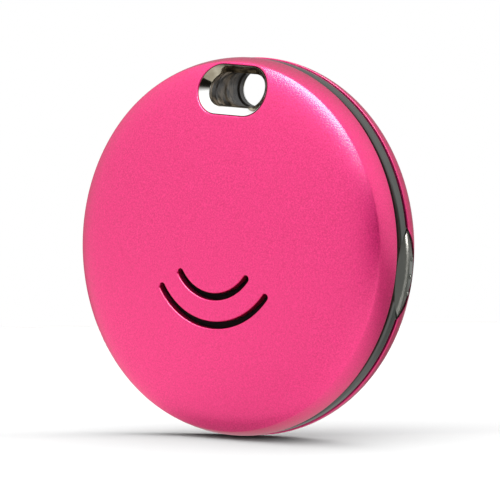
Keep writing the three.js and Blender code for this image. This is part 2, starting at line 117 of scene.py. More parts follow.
# Eye outlines on the rim: (half length, half width).
BUTTON_Z = -1.12
BUTTON_Y = 0.95
CREST = node_box("side_button")[1].x
CAP = (4.05, 1.34)
OPENING = (4.15, 1.41)
PAD = (4.38, 1.52)
NOTCH = (4.48, 1.57)
BUMP_LEVEL = 17.7
BUMP_RADIUS = 0.27
BUMP_BEHIND = 0.78
BUMP_HEIGHTS = (1.44, -0.23, -1.83)

# ---- Mesh code ----

# Points closer than this are one point.
WELD = 1e-5
SHARP_ANGLE = math.radians(32)
ROUNDED_ANGLE = math.radians(28)
# Far enough each way to cut through the whole tag.
THROUGH = 9


class Piece:
    """A closed mesh in millimetres, held as vertices and faces."""

    def __init__(self, verts, faces):
        self.verts = np.asarray(verts, float).reshape(-1, 3)
        self.faces = [tuple(int(i) for i in f) for f in faces]

    def moved(self, x=0.0, y=0.0, z=0.0):
        return Piece(self.verts + np.array([x, y, z]), self.faces)

    def turned(self, degrees):
        """Turned about the disc's axis, anticlockwise as seen from the front."""
        c, s = math.cos(math.radians(degrees)), math.sin(math.radians(degrees))
        x, y, z = self.verts.T
        return Piece(np.column_stack([c * x - s * z, y, s * x + c * z]), self.faces)

    def mesh(self, name="scratch", weld=0.0):
        mesh = bpy.data.meshes.new(name)
        mesh.from_pydata([tuple(v) for v in self.verts], [], self.faces)
        work = bmesh.new()
        work.from_mesh(mesh)
        if weld:
            bmesh.ops.remove_doubles(work, verts=work.verts, dist=weld)
            bmesh.ops.dissolve_degenerate(work, edges=work.edges, dist=weld / 3)
        bmesh.ops.recalc_face_normals(work, faces=work.faces)
        work.to_mesh(mesh)
        work.free()
        return mesh

    def place(self, name, body, materials, slot, replaces, rounded=0.0, steps=2, pick=None):
        """Makes the Blender object, in metres, riding on its body instead of its CAD nodes.
        pick(face centre) gives the number of a face's material."""
        mesh = self.mesh(name, WELD)
        if rounded:
            round_edges(mesh, rounded, steps)
        if pick:
            for face in mesh.polygons:
                face.material_index = pick(face.center)
        mesh.transform(Matrix.Translation((0, 0, CENTRE_Z)))
        mesh.transform(Matrix.Scale(MM, 4))
        mesh.shade_smooth()
        mesh.set_sharp_from_angle(angle=SHARP_ANGLE)
        for material in materials:
            mesh.materials.append(material)
        obj = new_object(name, mesh)
        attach(obj, body)
        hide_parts(*replaces)
        return obj


def new_object(name, data):
    """Makes an object and links it into the scene."""
    obj = bpy.data.objects.new(name, data)
    bpy.context.scene.collection.objects.link(obj)
    return obj


def taken_from(mesh):
    """The Piece with a Blender mesh's vertices and faces."""
    return Piece([tuple(v.co) for v in mesh.vertices], [tuple(p.vertices) for p in mesh.polygons])


def round_edges(mesh, radius, steps):
    """Rounds every edge that turns more than ROUNDED_ANGLE."""
    work = bmesh.new()
    work.from_mesh(mesh)
    edges = [e for e in work.edges if e.is_manifold and e.calc_face_angle(0) > ROUNDED_ANGLE]
    bmesh.ops.bevel(
        work, geom=edges, offset=radius, offset_type="OFFSET", segments=steps, profile=0.5,
        affect="EDGES", clamp_overlap=True,
    )
    work.to_mesh(mesh)
    work.free()


def boolean(base, tools, operation):
    """base with every tool cut away from it or joined to it."""
    target = new_object("target", base.mesh(weld=WELD))
    made = [target]
    for tool in tools:
        obj = new_object("tool", tool.mesh(weld=WELD))
        made.append(obj)
        modifier = target.modifiers.new("boolean", "BOOLEAN")
        modifier.operation = operation
        modifier.solver = "MANIFOLD"
        modifier.object = obj
    bpy.context.view_layer.update()
    evaluated = target.evaluated_get(bpy.context.evaluated_depsgraph_get())
    piece = taken_from(evaluated.to_mesh())
    evaluated.to_mesh_clear()
    for obj in made:
        data = obj.data
        bpy.data.objects.remove(obj)
        bpy.data.meshes.remove(data)
    return piece


def cut(base, *tools):
    return boolean(base, tools, "DIFFERENCE")


def join(base, *tools):
    return boolean(base, tools, "UNION")


def loft(loops, close_ends):
    """Skins a row of equal closed loops. close_ends caps the first and last, or joins them."""
    loops = np.asarray(loops, float)
    rows, count = loops.shape[:2]
    faces = []
    for i in range(rows if close_ends == "ring" else rows - 1):
        for j in range(count):
            a, b = i * count + j, i * count + (j + 1) % count
            nxt = (i + 1) % rows
            faces.append((a, b, nxt * count + (j + 1) % count, nxt * count + j))
    if close_ends == "caps":
        faces.append(tuple(range(count))[::-1])
        faces.append(tuple((rows - 1) * count + j for j in range(count)))
    return Piece(loops.reshape(-1, 3), faces)


def turn(profile, segments=192):
    """Turns (radius, y) points about the disc's axis. The profile starts and ends on the axis,
    or it is a loop that closes on itself."""
    verts, faces, rows = [], [], []
    for radius, y in profile:
        if radius < 1e-6:
            rows.append([len(verts)])
            verts.append((0, y, 0))
            continue
        rows.append(list(range(len(verts), len(verts) + segments)))
        for j in range(segments):
            angle = 2 * math.pi * j / segments
            verts.append((radius * math.cos(angle), y, radius * math.sin(angle)))
    on_axis = len(rows[0]) == 1 and len(rows[-1]) == 1
    pairs = list(zip(rows, rows[1:])) + ([] if on_axis else [(rows[-1], rows[0])])
    for a, b in pairs:
        for j in range(segments):
            k = (j + 1) % segments
            corners = [a[j % len(a)], a[k % len(a)], b[k % len(b)], b[j % len(b)]]
            unique = list(dict.fromkeys(corners))
            if len(unique) > 2:
                faces.append(unique)
    return Piece(verts, faces)


def arc(centre, radius, start, end, steps):
    """Points on an arc, in degrees from the first axis."""
    angles = np.radians(np.linspace(start, end, steps + 1))
    return [(centre[0] + radius * math.cos(a), centre[1] + radius * math.sin(a)) for a in angles]


def rounded_profile(corners, radius, steps=4):
    """A closed profile with each corner rounded; corners are (radius, y)."""
    points = []
    count = len(corners)
    for i in range(count):
        before, here, after = (Vector(corners[(i + k) % count]) for k in (-1, 0, 1))
        a, b = (before - here).normalized(), (after - here).normalized()
        reach = min(radius, (before - here).length / 2.01, (after - here).length / 2.01)
        start, end = here + a * reach, here + b * reach
        for k in range(steps + 1):
            t = k / steps
            points.append(tuple((1 - t) ** 2 * start + 2 * t * (1 - t) * here + t * t * end))
    return points


def ring(inner, outer, front, rear, round_radius=0.06, segments=192):
    """A flat ring about the disc's axis, with rounded edges."""
    corners = [(inner, front), (outer, front), (outer, rear), (inner, rear)]
    return turn(rounded_profile(corners, round_radius), segments)


def disc(radius, front, rear, round_radius=0.06, segments=128):
    """A disc about the disc's axis, with bevelled edges."""
    half = [(0, front), (radius - round_radius, front)]
    half += [(radius, front + round_radius), (radius, rear - round_radius)]
    half += [(radius - round_radius, rear), (0, rear)]
    return turn(half, segments)


def arc_ring(profile, start, end, steps):
    """Sweeps a closed (radius, y) profile from one angle to another, in degrees from +X."""
    loops = []
    for angle in np.radians(np.linspace(start, end, steps + 1)):
        loops.append([(r * math.cos(angle), y, r * math.sin(angle)) for r, y in profile])
    return loft(loops, "caps")


def box(x0, x1, y0, y1, z0, z1):
    corners = [(x, y, z) for z in (z0, z1) for y in (y0, y1) for x in (x0, x1)]
    faces = [(0, 1, 3, 2), (4, 6, 7, 5), (0, 4, 5, 1), (2, 3, 7, 6), (0, 2, 6, 4), (1, 5, 7, 3)]
    return Piece(corners, faces)


def soft_box(x0, x1, y0, y1, z0, z1, radius=0.06, steps=2):
    """A box with rounded edges."""
    mesh = box(x0, x1, y0, y1, z0, z1).mesh()
    round_edges(mesh, radius, steps)
    piece = taken_from(mesh)
    bpy.data.meshes.remove(mesh)
    return piece


def plate(outline, front, rear):
    """An outline of (x, z) points, given thickness in Y."""
    return loft([[(x, y, z) for x, z in outline] for y in (front, rear)], "caps")


# ---- Outlines ----


def stadium_stations(quarter_steps):
    """(centre x, across, up) round the bore: a point at grow g is centre + (half z + g) outwards."""
    reach = BORE_HALF_X - BORE_HALF_Z
    stations = []
    for sign in (1, -1):
        for angle in np.linspace(-math.pi / 2, math.pi / 2, 2 * quarter_steps + 1):
            stations.append((sign * reach, sign * math.cos(angle), sign * math.sin(angle)))
        for t in np.linspace(0, 1, 12)[1:-1]:
            stations.append((sign * reach * (1 - 2 * t), 0.0, float(sign)))
    return stations


def stadium_point(station, grow):
    centre, across, up = station
    reach = BORE_HALF_Z + grow
    return centre + reach * across, BORE_Z + reach * up


def stadium(grow, quarter_steps=16):
    return [stadium_point(s, grow) for s in stadium_stations(quarter_steps)]


def stadium_distance(x, z):
    """How far outside the covers' hole for the bore a point lies."""
    along = np.maximum(np.abs(x) - (BORE_HALF_X - BORE_HALF_Z), 0)
    return np.hypot(along, z - BORE_Z) - (BORE_HALF_Z + SLEEVE_WALL)


def slot_loop(radius, grow):
    """Outline of a sound slot grown by some amount, as (x, z) points."""
    half = SLOT_HALF_WIDTH + grow
    first, last = -90 - SLOT_HALF_ANGLE, -90 + SLOT_HALF_ANGLE
    steps = int(radius * math.radians(last - first) / SLOT_STEP) - 1

    def end(angle, start):
        middle = arc((0, 0), radius, angle, angle, 0)[0]
        return arc(middle, half, start, start + 180, SLOT_END_STEPS)[1:-1]

    points = arc((0, 0), radius + half, first, last, steps) + end(last, last)
    return points + arc((0, 0), radius - half, last, first, steps) + end(first, first + 180)


def slot_distance(radius, x, z):
    """How far outside a sound slot a point lies."""
    reach = math.radians(SLOT_HALF_ANGLE)
    held = np.clip(np.arctan2(x, -z), -reach, reach)
    return np.hypot(x - radius * np.sin(held), z + radius * np.cos(held)) - SLOT_HALF_WIDTH


def eye_half_width(length, half_length, half_width):
    """Half width of an eye outline at some length from its middle."""
    radius = (half_length ** 2 + half_width ** 2) / (2 * half_width)
    inside = np.maximum(radius ** 2 - np.asarray(length, float) ** 2, 0)
    return np.maximum(np.sqrt(inside) - (radius - half_width), 0)


# ---- Covers ----


def front_height(share):
    """A dome that rolls off to a soft crease, and a side that curves in from the rim."""
    crown = FRONT_FACE - FRONT_RIM
    face = crown - FRONT_DOME * share ** 2 - FRONT_ROLL * share ** FRONT_ROLL_POWER
    side = FRONT_SIDE * np.sqrt(RADIUS * (1 - share) / FRONT_TAPER)
    return np.maximum((face + side) / 2 - np.hypot((face - side) / 2, FRONT_CREASE), 0)


def back_height(share):
    """Flat, with a rounded shoulder."""
    return (BACK_FACE - BACK_RIM) * (1 - share ** BACK_SHOULDER_POWER) ** (1 / BACK_ROUNDNESS)


FRONT = {"side": -1, "rim": FRONT_RIM, "height": front_height, "edge_round": 0.18}
BACK = {"side": 1, "rim": BACK_RIM, "height": back_height, "edge_round": 0.09}


def cover_depth(form, radius):
    """How far a cover's outer surface is from the tag's middle plane, at some radius."""
    share = np.minimum(np.asarray(radius, float) / RADIUS, 1)
    return form["rim"] + form["height"](share)


RIM_ROUND = 0.08
AROUND = 288
FEWEST_AROUND = 18
# A skin's rings lie this far apart, or closer where the surface turns, but never nearer.
RING_SPACING = 0.9
DEGREES_PER_RING = 4.0
NEAREST_RINGS = 0.015
# Extra loops round a hole, as shares of the radius that its edge is rounded to.
HOLE_LOOPS = (0.15, 0.4, 0.7, 1.0, 1.6)


class Skin:
    """A turned surface with its points found by arc length from the axis."""

    def __init__(self, radii, depths):
        self.radii, self.depths = np.asarray(radii), np.asarray(depths)
        steps = np.hypot(np.diff(self.radii), np.diff(self.depths))
        self.length = np.concatenate([[0], np.cumsum(steps)])
        headings = np.unwrap(np.arctan2(np.diff(self.depths), np.diff(self.radii)))
        turning = np.concatenate([[0], np.cumsum(np.abs(np.diff(headings))), [0]])
        turning[-1] = turning[-2]
        self.effort = self.length / RING_SPACING + np.degrees(turning) / DEGREES_PER_RING
        self.widest = int(np.argmax(self.radii))

    def stops(self):
        """Lengths from the axis at which the skin has a ring of points."""
        count = int(math.ceil(self.effort[-1]))
        wanted = np.interp(np.linspace(0, self.effort[-1], count + 1), self.effort, self.length)
        kept = [0.0]
        for length in wanted[1:-1]:
            if min(length - kept[-1], self.length[-1] - length) > NEAREST_RINGS:
                kept.append(float(length))
        return kept + [float(self.length[-1])]

    def at(self, length):
        radius = np.interp(length, self.length, self.radii)
        return radius, np.interp(length, self.length, self.depths)

    def length_at(self, radius):
        upto = self.widest + 1
        return np.interp(radius, self.radii[:upto], self.length[:upto])


def outer_skin(form):
    """A cover's outer surface, from its middle out and over to its rim."""
    rim = form["rim"]
    share = 1 - (1 - np.linspace(0, 1, 600)) ** 4
    radii = list(RADIUS * share)
    kept = [(r, d) for r, d in zip(radii, cover_depth(form, radii)) if d > rim + RIM_ROUND]
    kept += arc((RADIUS - RIM_ROUND, rim + RIM_ROUND), RIM_ROUND, 0, -90, 6)
    return Skin(*zip(*kept))


def cavity(form):
    """What is cut out of a cover, from its inner surface to beyond its rim."""
    rim, side, limit = form["rim"], form["side"], RADIUS - SKIN
    share = 1 - (1 - np.linspace(0, 1, 48)) ** 3
    depths = cover_depth(form, RADIUS * share) - SKIN
    kept = [(limit * s, d) for s, d in zip(share, depths) if d > rim + 0.2]
    kept += [(limit, rim + RIM_ROUND), (limit + 2 * RIM_ROUND, rim - RIM_ROUND), (0, rim - RIM_ROUND)]
    return turn([(r, side * d) for r, d in kept], AROUND)


def around_at(radius):
    """How many points a ring of the skin has, halved towards the middle."""
    count = AROUND
    while count > FEWEST_AROUND and radius < RADIUS * 0.4 * count / AROUND:
        count //= 2
    return count


def sheet(skin, side, holes, edge_round):
    """Triangulates a skin round its holes. Returns vertices, faces, each hole's edge loop and
    the skin's outer loop. Each hole is (loop function, distance function)."""
    flat, loops = [], []

    def add(points, is_loop):
        start = len(flat)
        flat.extend(points)
        if is_loop:
            loops.append(list(range(start, len(flat))))

    def unrolled(x, z):
        radius, angle = math.hypot(x, z), math.atan2(z, x)
        length = float(skin.length_at(radius))
        return length * math.cos(angle), length * math.sin(angle)

    grows = [0.0] + [edge_round * share for share in HOLE_LOOPS]
    for loop, _ in holes:
        for k, grow in enumerate(grows if edge_round else [0.0, 0.1]):
            add([unrolled(x, z) for x, z in loop(grow)], k == 0)
    keep_away = max(2.2 * edge_round, 0.25)
    stops = skin.stops()
    for i, length in enumerate(stops):
        radius, _ = skin.at(length)
        last = i == len(stops) - 1
        count = AROUND if last else around_at(radius)
        angles = 2 * np.pi * np.arange(count) / count
        x, z = radius * np.cos(angles), radius * np.sin(angles)
        clear = np.ones(count, bool)
        for _, distance in holes:
            clear &= distance(x, z) > keep_away
        if last:
            clear[:] = True
        if length == 0:
            add([(0.0, 0.0)], False)
            continue
        add([(length * math.cos(a), length * math.sin(a)) for a in angles[clear]], last)

    edges = [(l[i], l[(i + 1) % len(l)]) for l in loops for i in range(len(l))]
    done = delaunay_2d_cdt([Vector(p) for p in flat], edges, [], 0, 1e-6, True)
    points, triangles, sources = done[0], done[2], done[3]
    place_of = {source: i for i, group in enumerate(sources) for source in group}
    plane = np.array([tuple(p) for p in points])
    lengths = np.hypot(plane[:, 0], plane[:, 1])
    radius, depth = skin.at(lengths)
    with np.errstate(invalid="ignore", divide="ignore"):
        unit = np.where(lengths[:, None] > 1e-9, plane / lengths[:, None], 0)
    x, z = radius * unit[:, 0], radius * unit[:, 1]
    sunk = np.zeros(len(x))
    if edge_round:
        for _, distance in holes:
            near = np.clip(distance(x, z), 0, edge_round)
            drop = edge_round - np.sqrt(edge_round ** 2 - (edge_round - near) ** 2)
            sunk = np.maximum(sunk, drop)
    verts = np.column_stack([x, side * (depth - sunk), z])
    centres = verts[np.array(triangles)][:, :, [0, 2]].mean(axis=1)
    inside = np.zeros(len(centres), bool)
    for _, distance in holes:
        inside |= distance(centres[:, 0], centres[:, 1]) < -1e-4
    faces = [t for t, hidden in zip(triangles, inside) if not hidden]
    return verts, faces, [[place_of[i] for i in l] for l in loops]


def cover(form, holes, *more_cuts):
    """A cover: a solid puck with its holes right through, hollowed from behind."""
    side, rim = form["side"], form["rim"]
    floor = Skin([0.0, RADIUS - RIM_ROUND], [rim, rim])
    face_verts, face_faces, face_loops = sheet(outer_skin(form), side, holes, form["edge_round"])
    floor_verts, floor_faces, floor_loops = sheet(floor, side, holes, 0.0)
    shift = len(face_verts)
    faces = list(face_faces) + [tuple(i + shift for i in f) for f in floor_faces]
    for face_loop, floor_loop in zip(face_loops[:-1], floor_loops[:-1]):
        for i in range(len(face_loop)):
            j = (i + 1) % len(face_loop)
            faces.append((face_loop[i], face_loop[j], floor_loop[j] + shift, floor_loop[i] + shift))
    return cut(Piece(np.vstack([face_verts, floor_verts]), faces), cavity(form), *more_cuts)


# Each hole is (outline grown by some amount, distance outside it).
BORE_HOLE = (lambda grow: stadium(SLEEVE_WALL + grow), stadium_distance)
SLOT_HOLES = [(partial(slot_loop, radius), partial(slot_distance, radius)) for radius in SLOT_RADII]


def front_cover():
    return cover(FRONT, [BORE_HOLE] + SLOT_HOLES)


def eye_loop(half_length, half_width, level, steps=40):
    """An eye outline on a cylinder of some radius about the disc's axis."""
    lengths = half_length * np.sin(np.linspace(-math.pi / 2, math.pi / 2, steps + 1))
    widths = np.maximum(eye_half_width(lengths, half_length, half_width), 0.01)
    points = []
    for length, width in zip(lengths, widths):
        points.append((BUTTON_Y + width, BUTTON_Z + length))
    for length, width in zip(lengths[::-1], widths[::-1]):
        points.append((BUTTON_Y - width, BUTTON_Z + length))
    return [(math.sqrt(level ** 2 - z ** 2), y, z) for y, z in points]


def eye_tool(half_length, half_width, inner, flare_from, flare):
    """A cutting tool with an eye outline that flares by 45 degrees above a radius."""
    levels = [(inner, 0.0), (flare_from, 0.0), (flare_from + flare, flare), (RADIUS + 0.6, flare + 0.3)]
    return loft([eye_loop(half_length + g * 1.6, half_width + g, r) for r, g in levels], "caps")


def back_cover():
    notch = eye_tool(*NOTCH, RADIUS - 2.5, RADIUS - 0.07, 0.07)
    return cover(BACK, [BORE_HOLE], notch)


# ---- Bore ----


def bore_ring(section, quarter_steps=24):
    """Sweeps a section round the bore. A corner (grow, inset, share) lies that share of the way
    from inset below the front surface to inset below the back one."""
    loops = []
    for station in stadium_stations(quarter_steps):
        edge = math.hypot(*stadium_point(station, BEZEL_CHAMFER))
        front, back = float(cover_depth(FRONT, edge)), float(cover_depth(BACK, edge))
        loop = []
        for grow, inset, share in section:
            x, z = stadium_point(station, grow)
            loop.append((x, (1 - share) * (inset - front) + share * (back - inset), z))
        loops.append(loop)
    return loft(loops, "ring")


def bezel(share):
    """A polished ring: a flat 45 degree chamfer between two crisp rounded edges."""
    lip = 0.13
    corners = [(BEZEL_CHAMFER, 0.0), (0.0, BEZEL_CHAMFER), (0.0, BEZEL_CHAMFER + lip),
               (BEZEL_CHAMFER, BEZEL_CHAMFER + lip)]
    rounded = rounded_profile(corners, 0.05, 3)
    return bore_ring([(grow, BEZEL_GAP + down, share) for grow, down in rounded])


def bore_sleeve():
    """The dark sleeve, with steps and ridges round its bore."""
    inset = 2 * BEZEL_GAP + BEZEL_CHAMFER + 0.15
    outline = [
        (0.0, 0.0), (0.0, 0.05), (0.16, 0.07), (0.16, 0.2), (0.05, 0.22), (0.05, 0.3), (0.16, 0.32),
        (0.16, 0.47), (0.02, 0.5), (0.02, 0.58), (0.14, 0.61), (0.14, 0.86), (0.0, 0.9), (0.0, 1.0),
        (SLEEVE_WALL - BEZEL_GAP, 1.0), (SLEEVE_WALL - BEZEL_GAP, 0.0),
    ]
    return bore_ring([(grow, inset, share) for grow, share in outline])


# ---- Frame, button ----


def eye_cap(half_length, half_width, surface, inner, columns=72, rows=28):
    """A closed eye-shaped block: a fine grid over the top, straight sides, a flat inner face.
    surface(y, z, edge distance) gives the top's radius from the disc's axis."""
    us = np.sin(np.linspace(-math.pi / 2, math.pi / 2, columns + 1))
    vs = np.sin(np.linspace(-math.pi / 2, math.pi / 2, rows + 1))
    tip = half_length * 0.997
    top = []
    for u in us:
        length = tip * u
        width = float(eye_half_width(length, half_length, half_width))
        for v in vs:
            edge = width * (1 - abs(v))
            y, z = BUTTON_Y + v * width, BUTTON_Z + length
            level = surface(y, z, edge)
            top.append((math.sqrt(level ** 2 - z ** 2), y, z))
    count = rows + 1
    verts = list(top)
    faces = []
    for i in range(columns):
        for j in range(rows):
            a = i * count + j
            faces.append((a, a + 1, a + count + 1, a + count))
    rim = [i * count for i in range(columns + 1)]
    rim += [columns * count + j for j in range(1, rows + 1)]
    rim += [i * count + rows for i in range(columns - 1, -1, -1)]
    rim += list(range(rows - 1, 0, -1))
    base = len(verts)
    verts += [(inner, verts[i][1], verts[i][2]) for i in rim]
    for k in range(len(rim)):
        m = (k + 1) % len(rim)
        faces.append((rim[k], rim[m], base + m, base + k))
    faces.append(tuple(base + k for k in range(len(rim))))
    return Piece(verts, faces)


def soft_step(value, softness=0.06):
    """value where it is positive and 0 elsewhere, with a rounded corner."""
    return (value + math.sqrt(value ** 2 + softness ** 2)) / 2


def edge_drop(distance, radius):
    """How far a rounded edge has fallen away at some distance from it."""
    near = min(max(distance, 0.0), radius)
    return radius - math.sqrt(radius ** 2 - (radius - near) ** 2)


SCREW_CIRCLE = 14.2
SCREW_PLACES = [arc((0, 0), SCREW_CIRCLE, angle, angle, 0)[0] for angle in (45, 180, 300)]


def at_screws(piece):
    return [piece.moved(x, 0, z) for x, z in SCREW_PLACES]


def frame_body():
    """Ring, ridge, board ledge, screw bosses and button pad in one moulding."""
    shoulder, edge = 0.3, 0.1
    ridge = arc((RIDGE_RADIUS - shoulder, RIDGE_FRONT + shoulder), shoulder, -90, -10, 8)
    ridge += arc((RIDGE_RADIUS - edge, RIDGE_REAR - edge), edge, 0, 90, 4)
    profile = [(RING_INNER, -2.25), (16.5, -2.25), (RING_OUTER, -1.6), (RING_OUTER, RIDGE_FRONT)]
    profile += ridge
    profile += [(RING_OUTER, RIDGE_REAR), (RING_OUTER, 1.05), (16.55, 1.5), (RING_INNER, 1.5),
                (RING_INNER, -1.1), (14.9, -1.1), (14.9, -1.5), (RING_INNER, -1.5)]
    body = turn(profile, 256)

    def pad_surface(y, z, edge):
        fall = 0.42 * soft_step(y - BUTTON_Y - 0.55)
        return RIDGE_RADIUS - fall - edge_drop(edge, 0.08)

    pad = eye_cap(*PAD, pad_surface, 16.2)
    bosses = at_screws(disc(1.1, -1.5, 0.2, 0.08, 32))
    whole = join(body, pad, *bosses)
    bore = plate(stadium(SLEEVE_WALL), -THROUGH, THROUGH)
    pocket = box(14.5, 16.2, -1.05, RIDGE_RADIUS, BUTTON_Z - 4.4, BUTTON_Z + 4.4)
    opening = eye_tool(*OPENING, 15.0, RIDGE_RADIUS - 0.4, 0.02)
    return cut(whole, bore, pocket, opening, *at_screws(disc(0.6, -2, -0.1, 0.02, 24)))


def side_button():
    """The eye-shaped cap on its neck, flange and stem. The cap has three plain bumps behind a crest
    that bows backwards in the middle."""
    facet_width, bow = 0.4, 0.36
    front_slope, rear_slope, rounding = 0.3, 0.26, 0.07
    top = CREST - 0.005

    def surface(y, z, edge):
        behind_crest = y - BUTTON_Y - bow * (1 - ((z - BUTTON_Z) / CAP[0]) ** 2)
        rear = rear_slope * soft_step(behind_crest)
        facet = front_slope * soft_step(-behind_crest)
        front = front_slope * soft_step(-behind_crest - facet_width)
        return top - rear - facet - front - edge_drop(edge, rounding)

    cap = eye_cap(*CAP, surface, 16.5)
    bumps = []
    for height in BUMP_HEIGHTS:
        z = BUTTON_Z + height
        bumps.append(ball(BUMP_RADIUS, math.sqrt(BUMP_LEVEL ** 2 - z ** 2), BUTTON_Y + BUMP_BEHIND, z, 1.2))
    neck = box(15.75, 16.6, 0.15, 1.25, BUTTON_Z - 1.8, BUTTON_Z + 1.8)
    flange = soft_box(15.35, 15.85, -0.9, 1.3, BUTTON_Z - 3.6, BUTTON_Z + 3.6, 0.08)
    stem = soft_box(14.2, 15.45, -0.1, 0.6, BUTTON_Z - 1, BUTTON_Z + 1, 0.08)
    return join(cap, neck, flange, stem, *bumps)


def ball(radius, x, y, z, stretch):
    """A small round bump, stretched along Z."""
    work = bmesh.new()
    bmesh.ops.create_uvsphere(work, u_segments=20, v_segments=12, radius=radius)
    verts = [(v.co.x + x, v.co.y + y, v.co.z * stretch + z) for v in work.verts]
    work.verts.index_update()
    faces = [tuple(v.index for v in f.verts) for f in work.faces]
    work.free()
    return Piece(verts, faces)


# ---- Inside the case ----

RING_CLEARANCE = 0.3
CELL_AXIS = (-1.0, -2.6)
SOUNDER_Z = -3.5
CRADLE_INNER = 10.3
HOOK_ANGLES = (20, 150, 215, 330)


def ring_round_sleeve(node, inner, front, round_radius):
    """A ring as far out and back as its CAD node, cut away where the bore's sleeve passes."""
    high = node_box(node)[1]
    whole = ring(inner, high.x, front, high.y, round_radius)
    return cut(whole, plate(stadium(SLEEVE_WALL + RING_CLEARANCE), -THROUGH, THROUGH))


def block_of(node, radius):
    """A soft block of a CAD node's size."""
    low, high = node_box(node)
    return soft_box(low.x, high.x, low.y, high.y, low.z, high.z, radius)


def at_cell(piece):
    """Moves a piece made on the disc's axis to the coin cell's."""
    return piece.moved(CELL_AXIS[0], 0, CELL_AXIS[1])


def extruded(outline, start, end):
    """An outline of (x, y) points, given thickness in Z."""
    return loft([[(x, y, z) for x, y in outline] for z in (start, end)], "caps")


def round_circle(piece, radius, angles):
    return [piece.moved(radius).turned(angle) for angle in angles]


def snap_ring():
    """A flat ring with four hooks that have barbed, tapered tips."""
    low = node_box("snap_ring")[0]
    whole = ring_round_sleeve("snap_ring", 14.2, 1.8, 0.07)
    barb = [(14.7, 1.95), (14.7, low.y + 0.2), (14.8, low.y), (15.1, low.y), (15.35, low.y + 0.4),
            (15.35, low.y + 0.55), (15.22, low.y + 0.7), (15.22, 1.95)]
    hook = extruded(barb, -0.9, 0.9)
    ribs = round_circle(box(14.3, 14.75, 1.3, 1.95, -0.15, 0.15), 0, HOOK_ANGLES)
    return join(whole, *[hook.turned(angle) for angle in HOOK_ANGLES], *ribs)


def battery_cradle():
    """A round wall with a lead-in, eight crush ribs, a contact window and a thumb notch."""
    low, high = node_box("battery_cradle")
    outer = 11.0
    section = [(CRADLE_INNER, low.y), (outer, low.y), (outer, high.y), (10.62, high.y),
               (CRADLE_INNER, high.y - 0.4)]
    wall = turn(rounded_profile(section, 0.08, 3), 128)
    rib = disc(0.2, low.y + 0.02, 0.6, 0.06, 20)
    ribs = round_circle(rib, CRADLE_INNER + 0.04, range(22, 382, 45))
    whole = at_cell(join(wall, *ribs))
    window = box(-18, CELL_AXIS[0] - 9.5, -4, 4, -5.6, 0.4)
    notch = soft_box(CELL_AXIS[0] - 3.5, CELL_AXIS[0] + 3.5, -0.4, 4, -18, CELL_AXIS[1] - 9, 0.3, 3)
    return cut(whole, window, notch)


def sounder_carrier():
    """A ring with six channels across its back."""
    low, high = node_box("sounder_carrier")
    whole = ring(7.2, high.x, low.y, high.y, 0.09)
    channels = round_circle(box(-1, 1, high.y - 0.2, high.y + 1, -0.35, 0.35), 8.0, range(30, 390, 60))
    return cut(whole, *channels).moved(0, 0, SOUNDER_Z)


def switch_body():
    """A soft block with a mouth for its plunger and four rivet dimples on the back."""
    low, high = node_box("switch_body")
    mouth = box(12.4, 14, -0.2, 0.7, BUTTON_Z - 1.1, BUTTON_Z + 1.1)
    dimples = []
    for x in (low.x + 0.45, high.x - 0.45):
        for z in (low.z + 0.45, high.z - 0.45):
            dimples.append(disc(0.2, high.y - 0.08, high.y + 1, 0.02, 20).moved(x, 0, z))
    return cut(block_of("switch_body", 0.1), mouth, *dimples)


def button_seal():
    """A soft gasket with a raised bead round the neck's hole."""
    low, high = node_box("button_seal")
    hole = box(15, 17, 0.05, 1.35, BUTTON_Z - 1.9, BUTTON_Z + 1.9)
    bead = soft_box(low.x + 0.06, high.x, -0.2, high.y, BUTTON_Z - 2.15, BUTTON_Z + 2.15, 0.05)
    plate_part = soft_box(low.x, high.x - 0.06, low.y, high.y, low.z, high.z, 0.05)
    return cut(join(plate_part, bead), hole)


def circuit_board():
    """A round board, cut straight below the bore and drilled for its screws."""
    low, high = node_box("circuit_board")
    whole = disc(15.3, low.y, high.y, 0.04, 160)
    top = box(-16, 16, -4, 4, high.z, 17)
    return cut(whole, top, *at_screws(disc(0.65, -4, 2, 0.02, 32)))


def resin_chip(node):
    """A chip body with a round pin-1 dimple."""
    low, high = node_box(node)
    size = high.x - low.x
    dimple = disc(size * 0.06, low.y - 1, low.y + 0.05, 0.01, 24)
    return cut(block_of(node, 0.05), dimple.moved(low.x + size * 0.17, 0, high.z - size * 0.17))


def terminal_block(node, terminal):
    """A ceramic block with a slightly larger metal terminal at each end."""
    low, high = node_box(node)
    body = soft_box(low.x + 0.1, high.x - 0.1, low.y + 0.03, high.y, low.z + 0.03, high.z - 0.03, 0.04)
    left = soft_box(low.x, low.x + terminal, low.y, high.y, low.z, high.z, 0.05)
    right = soft_box(high.x - terminal, high.x, low.y, high.y, low.z, high.z, 0.05)
    return join(body, left, right)


def crystal():
    """A metal lid on a thin flange."""
    low, high = node_box("crystal")
    lid = soft_box(low.x + 0.16, high.x - 0.16, low.y, high.y, low.z + 0.16, high.z - 0.16, 0.14, 4)
    flange = soft_box(low.x, high.x, high.y - 0.16, high.y, low.z, high.z, 0.05)
    return join(lid, flange)


def inductor():
    """A ferrite block with a round groove where the winding is potted."""
    low, high = node_box("inductor")
    groove = ring(0.8, 1.25, low.y - 0.5, low.y + 0.1, 0.03, 64)
    middle = (low + high) / 2
    return cut(block_of("inductor", 0.22), groove.moved(middle.x, 0, middle.z))


